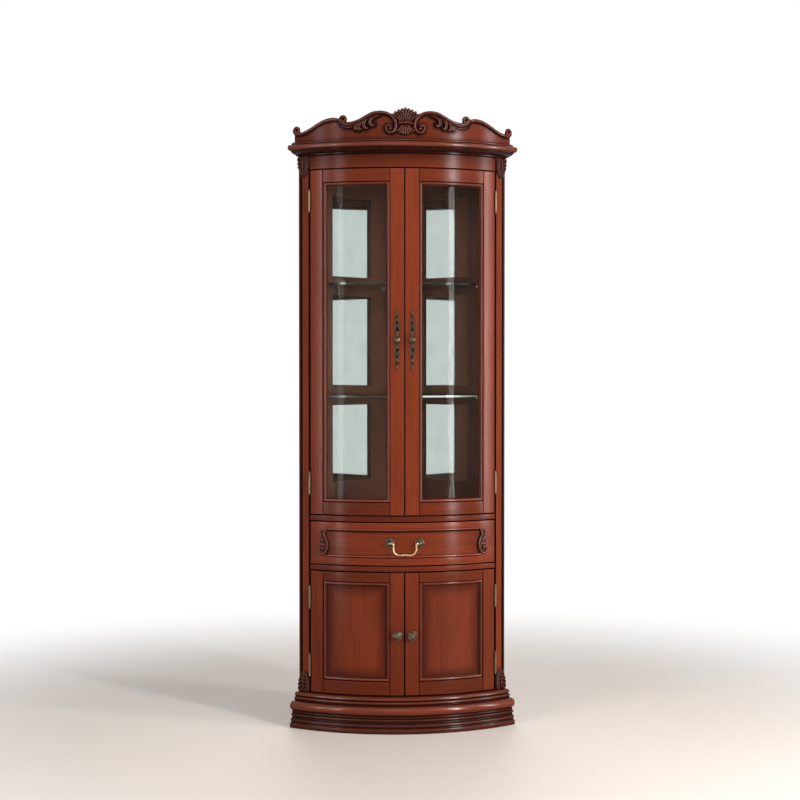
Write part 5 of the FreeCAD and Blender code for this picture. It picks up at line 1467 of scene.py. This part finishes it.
def upper_wires():
    """The wires, knots, frills, bud, heart and collars above a knob, as (across, up, forward, thick)."""
    waves = half_width(WIRE_STEPS) * np.cos((WIRE_STEPS - WIDEST) * math.pi / CROSSING)
    beading = WIRE_THICK + BEAD_SWING * np.cos(np.arange(len(WIRE_STEPS)) * math.pi)
    beads = list(zip(waves, WIRE_STEPS, beading))
    lines = []
    for wire in (1, -1):
        lines.append([(wire * wide, step, WIRE, thick) for wide, step, thick in beads])
        for rank, share in KNOTS:
            spot = WIDEST + (rank + 0.5) * CROSSING
            across = wire * share * half_width(spot)
            lines.append([(across, spot + rise_by, KNOT, thick) for rise_by, thick in KNOT_LINE])
        lines.append([
            (wire * (half_width(step) + FRILL_OFF), step, FRILL_EDGE, FRILL_THICK[rank % 2])
            for rank, step in enumerate(WIRE_STEPS[FRILL])])
    lines += [[(0, step, MIDDLE, thick) for step, thick in line] for line in (BUD, HEART)]
    for step, thick in COLLARS:
        lines.append([(across, step, COLLAR, thick * share) for across, share in COLLAR_LINE])
    return lines


print("strands above a knob:", len(upper_wires()))

# %% The plate of a handle
HANDLE_ALONG = 24.25
HANDLE_UP = 1260
# The sheet is narrower than the wires: a share of their half width and a rim.
SHEET_SHARE, SHEET_RIM = 0.7, 0.2
SHEET_BACK, SHEET_FRONT = -0.2, 0.5
SHEET_STEPS = np.linspace(-86, 86, 87)


def wire_handle(side):
    """The pierced wires of one handle plate, above and below its knob."""
    return [
        [(side * HANDLE_ALONG + across, HANDLE_UP + direction * step, *rest) for across, step, *rest in line]
        for direction in (1, -1) for line in upper_wires()]


def handle_shade_sheet(side):
    """A near-black sheet behind the wires, cut to their outline, that stands for the shade there: painted
    shade.
    """
    half = SHEET_SHARE * half_width(np.abs(SHEET_STEPS)) + SHEET_RIM
    across, up = np.concatenate([half, -half[::-1]]), np.concatenate([SHEET_STEPS, SHEET_STEPS[::-1]])
    outline = np.stack([side * HANDLE_ALONG + across, HANDLE_UP + up], axis=1)
    return slab(outline, SHEET_BACK, SHEET_FRONT, FACE)


print("strands in a handle plate:", len(wire_handle(1)))

# %% Plates and knobs on the doors
CUPBOARD_KNOB_UP = 312
for hand, side in SIDES:
    upper, lower, along = f"upper_{hand}_door", f"lower_{hand}_door", side * HANDLE_ALONG
    plate = carve(wire_handle(side), filigree_bronze)
    grip = turned(handle_knob, along, HANDLE_UP, flutes=12)
    knob = turned(cupboard_knob, along, CUPBOARD_KNOB_UP)
    for name, mesh, body, finish, nodes in (
        ("handle_shade_sheet", handle_shade_sheet(side), upper, shade_sheet_bronze, []),
        ("handle_filigree", plate, upper, filigree_bronze, [f"{upper}_handle_plate"]),
        ("handle_grip", grip, upper, filigree_bronze, [f"{upper}_handle_knob"]),
        ("cupboard_grip", knob, lower, antique_bronze, [f"{lower}_knob"]),
    ):
        place(f"{hand}_{name}", mesh, body, "antique_brass", finish, nodes)
print("pieces so far:", pieces_made)

# %% [markdown]
# ## The drawer pull
#
# A bail hangs from two rosettes. The rosettes are turned plates with a fluted rim and a ball that the
# bail enters. The bail is a cast rod that thickens at its ears and its foot, so it is one more strand,
# but it isn't wrapped round the bow: the tree's wrap is set to nothing and the rod stays in one plane.

# %% Rosettes and bail
FIELD = FACE - FIELD_DEPTH
ROSETTE_ALONG = 48.1
PULL_UP = 607.5
BAIL_FORWARD = -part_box("bail_handle")[0].y / MM - 2.2
rosette = [
    (0, -0.5), (15.4, -0.5, 1.2), (16, 0.9, 1.4), (15.4, 2.6, 1.5), (13.8, 3.8, 1.2), (12.0, 3.2, 0.6),
    (10.6, 1.6), (10.2, 2.6, 0.7), (9.4, 4.8, 0.9), (7.8, 5.4, 0.6), (6.2, 4.0), (5.2, 4.4), (4.6, 7.0),
    (4.4, 9.6), (5.4, 11.8), (6.2, 14.6), (6.4, 17.0), (5.8, 19.4), (4.2, 21.6), (2.2, 22.7), (0, 23)]
rosettes = joined(*[
    turned(rosette, side * ROSETTE_ALONG, PULL_UP, FIELD, flutes=10, steps=80) for _, side in SIDES])
rosettes.shade_smooth()
place("pull_rosettes", rosettes, "drawer", "antique_brass", antique_bronze, ["drawer_rosettes"])
half_bail = [
    (47, 607.5, 2.2), (43.5, 607.5, 2.4), (40.2, 606.8, 3.3), (37.4, 603.6, 3.1), (36.4, 598.5, 2.5),
    (36.8, 591.5, 2.4), (36, 584, 2.5), (32.8, 577, 2.7), (26.5, 572.2, 2.9), (18, 570.2, 2.7),
    (10.5, 570.4, 2.6), (5.2, 570.8, 3.4), (0, 570.8, 3.6)]
bail = [(along, up, BAIL_FORWARD, thick) for along, up, thick in half_bail]
bail += other_hand([bail[-2::-1]])[0]
rod = carve([bail], rubbed_brass, wrap=0.0)
place("pull_bail", rod, "drawer_bail", "antique_brass", rubbed_brass, ["bail_handle"])
print("bail plane at y =", round(-BAIL_FORWARD, 1), "mm")

# %% [markdown]
# ## Screws
#
# Each hinge leaf is held by three countersunk brass screws, and steel screws hold the back panels to the
# frame. A screw head is a shallow cone with a slot cut across it. The same head is needed many times, so a
# geometry tree cuts one head and sets a copy on every given point, turned to face the way the point says.

# %% The screw tree
SLOT_WIDTH = 0.7 * MM


def lifted(tree, geometry, rise_by):
    """Geometry moved up by a value."""
    move = add(tree, "ShaderNodeCombineXYZ", {"Z": rise_by})[0]
    return add(tree, "GeometryNodeTransform", {"Geometry": geometry, "Translation": move})[0]


def screw_tree():
    """A slotted head, set on each point and turned to its facing."""
    sizes = {"Head radius": 2.6 * MM, "Head height": 1.2 * MM, "Proud": 0.15 * MM}
    tree, given = new_tree("screw_heads", sizes)
    radius, height, proud = (given[name] for name in sizes)
    head = add(tree, "GeometryNodeMeshCone", {
        "Vertices": 24, "Radius Top": radius, "Radius Bottom": maths(tree, "MULTIPLY", radius, 0.5),
        "Depth": height})[0]
    long = maths(tree, "MULTIPLY", radius, 2.4)
    slot_size = add(tree, "ShaderNodeCombineXYZ", {"X": long, "Y": SLOT_WIDTH, "Z": height})[0]
    slot = add(tree, "GeometryNodeMeshCube", {"Size": slot_size})[0]
    raised = lifted(tree, slot, maths(tree, "MULTIPLY", height, 1.15))
    both = {"Mesh 1": head, "Mesh 2": raised}
    slotted = add(tree, "GeometryNodeMeshBoolean", both, operation="DIFFERENCE")[0]
    sunk = lifted(tree, slotted, maths(tree, "SUBTRACT", proud, height))
    facing = add(tree, "GeometryNodeInputNamedAttribute", {"Name": "facing"}, data_type="FLOAT_VECTOR")[0]
    turn = add(tree, "FunctionNodeAlignRotationToVector", {"Vector": facing}, axis="Z")[0]
    heads = add(tree, "GeometryNodeInstanceOnPoints", {
        "Points": given["Geometry"], "Instance": sunk, "Rotation": turn})[0]
    return end_tree(tree, given, heads)


screw_heads = screw_tree()

# %% Screws of the hinges
HINGE_ANGLE = math.radians(32.65)
HINGE_LEVELS = {"lower": (204, 425), "upper": (796, 1710)}
SCREW_RADIUS = 551 * MM
SCREW_STEPS = (-22, 0, 22)
LEAF_FACE = 0.25 * MM
HINGE_SCREW = {"slot": "hinge_brass", "finish": satin_brass, "radius": 2.6 * MM}


def screws(name, spots, facings, body, slot, finish, radius):
    """Places screw heads at these spots as one piece."""
    points = mesh_of(spots, [])
    attach(points, "facing", "FLOAT_VECTOR", facings)
    heads = run_tree(screw_heads, points, {"Head radius": radius, "Finish": finish})
    place(name, outward(heads), body, slot, finish)


post_spots, post_facings = [], []
for hand, side in SIDES:
    to_post = np.array([side * math.cos(HINGE_ANGLE), math.sin(HINGE_ANGLE), 0])
    for pair, levels in HINGE_LEVELS.items():
        heights = np.array([level + step for level in levels for step in SCREW_STEPS]) * MM
        seats = polar(side * HINGE_ANGLE, SCREW_RADIUS, heights)
        facings = np.broadcast_to(to_post, seats.shape)
        post_spots.append(seats + to_post * LEAF_FACE)
        post_facings.append(-facings)
        door = f"{pair}_{hand}_door"
        screws(f"{door}_screws", seats - to_post * LEAF_FACE, facings, door, **HINGE_SCREW)
screws("post_leaf_screws", post_spots, post_facings, "carcass", **HINGE_SCREW)
print("screws in the post leaves:", sum(map(len, post_spots)))

# %% Screws of the back panels
BACK_PANEL = (28.28 * MM, 302.44 * MM)
BACK_SHARES = (0.045, 0.955)
BACK_LEVELS = np.linspace(70, 1810, 9) * MM
DIAGONAL = math.sqrt(0.5)
PANEL_SCREW = {"slot": "shelf_pin_steel", "finish": nickel_steel, "radius": 3.6 * MM}
back_spots, back_facings = [], []
for _, side in SIDES:
    for share in BACK_SHARES:
        along = BACK_PANEL[0] + share * (BACK_PANEL[1] - BACK_PANEL[0])
        for level in BACK_LEVELS:
            back_spots.append((side * along, WALL_CORNER - along, level))
            back_facings.append((side * DIAGONAL, DIAGONAL, 0))
screws("back_panel_screws", back_spots, back_facings, "carcass", **PANEL_SCREW)
print("screws in the back panels:", len(back_spots))

# %% [markdown]
# ## Floor, light and camera
#
# A pale floor carries the shadow and fades to white a few metres out, so the cabinet stands in a plain
# studio from any side. Four upright soft lamps stand left and right of the front: on a bowed and polished
# front each leaves one upright band of light. Two wide ones hang high at the sides, and a front and a back
# lamp fill in. The world is a dim grey for lighting and plain white for what the camera, the polish and
# the glass see. The camera sits where the picture was taken: a little left of the middle, at chest height,
# five metres away.

# %% The floor
FLOOR_HALF = 14.0
FADE_NEAR = 0.9
FADE_FAR = 2.6
WHITE = linear("#ffffff")


def seen_directly(tree):
    """One for what the camera sees, also by reflection or through glass, and nothing for other light."""
    path = add(tree, "ShaderNodeLightPath")
    seen = maths(tree, "MAXIMUM", path["Is Camera Ray"], path["Is Glossy Ray"])
    return maths(tree, "MAXIMUM", seen, path["Is Transmission Ray"])


def studio_floor_finish():
    """Pale stone that fades to white away from the cabinet, for what sees it directly."""
    material, tree = new_material("pale_studio_floor")
    reach = add(tree, "ShaderNodeVectorMath", {0: object_spot(tree)}, operation="LENGTH")["Value"]
    fade = add(tree, "ShaderNodeMapRange", {
        "Value": reach, "From Min": FADE_NEAR, "From Max": FADE_FAR}, interpolation_type="SMOOTHSTEP")[0]
    white = maths(tree, "MULTIPLY", seen_directly(tree), fade)
    stone = principled(tree, {"Base Color": linear("#ddd2c9"), "Roughness": 0.6})
    glow = add(tree, "ShaderNodeEmission", {"Color": WHITE, "Strength": 1.0})[0]
    end_material(tree, add(tree, "ShaderNodeMixShader", {0: white, 1: stone, 2: glow})[0])
    return material


corners = [(x * FLOOR_HALF, y * FLOOR_HALF, 0) for x, y in ((-1, -1), (1, -1), (1, 1), (-1, 1))]
studio_floor = in_scene("studio_floor", mesh_of(corners, [(0, 1, 2, 3)]))
studio_floor.data.materials.append(studio_floor_finish())
print("the floor fades to white from", FADE_NEAR, "to", FADE_FAR, "m")

# %% The world
WORLD_LIGHT = 0.14
scene = bpy.context.scene
scene.world = bpy.data.worlds.new("studio_world")
scene.world.use_nodes = True
sky = scene.world.node_tree
sky.nodes.clear()
dim, white = (
    add(sky, "ShaderNodeBackground", {"Color": WHITE, "Strength": light})[0] for light in (WORLD_LIGHT, 1.0))
air = add(sky, "ShaderNodeMixShader", {0: seen_directly(sky), 1: dim, 2: white})[0]
add(sky, "ShaderNodeOutputWorld", {"Surface": air})
print("nodes in the world:", len(sky.nodes))

# %% Lamps
AIM = Vector((0, -0.1, 1.0))
# Azimuth from the front in degrees, distance, height, width, length and power of each lamp.
lamps = {
    "left_lamp": (-43, 3.6, 1.3, 0.26, 2.6, 26),
    "far_left_lamp": (-55, 3.6, 1.5, 0.4, 2.4, 25),
    "right_lamp": (38.5, 3.6, 1.5, 0.28, 2.4, 108),
    "far_right_lamp": (64, 3.6, 1.5, 0.36, 2.4, 62),
    "high_right_lamp": (47, 3.6, 3.6, 3.2, 0.35, 42),
    "high_left_lamp": (-45, 3.6, 3.6, 1.6, 0.3, 14),
    "front_lamp": (-6, 4.4, 3.2, 1.6, 0.5, 24),
    "back_lamp": (180, 3.6, 2.6, 2.4, 1.6, 40),
}
for name, (azimuth, distance, height, width, tall, power) in lamps.items():
    lamp = bpy.data.lights.new(name, "AREA")
    lamp.shape = "RECTANGLE"
    lamp.size = width
    lamp.size_y = tall
    lamp.energy = power
    holder = in_scene(name, lamp)
    turn = math.radians(azimuth)
    holder.location = (distance * math.sin(turn), -distance * math.cos(turn), height)
    holder.rotation_euler = (AIM - holder.location).to_track_quat("-Z", "Y").to_euler()
print("lamps:", len(lamps))

# %% Camera
camera = in_scene("picture_camera", bpy.data.cameras.new("picture_camera"))
camera.data.lens = 72.3
camera.location = (-0.3516, -5.3303, 1.172)
camera.rotation_euler = (math.radians(88.84), 0, math.radians(-3.75))
scene.camera = camera
scene.view_settings.view_transform = "Standard"
print("camera at", [round(v, 3) for v in camera.location])

# %% [markdown]
# ## Last step
#
# The number of pieces made is printed.

# %% Count the pieces
print("pieces made:", pieces_made)
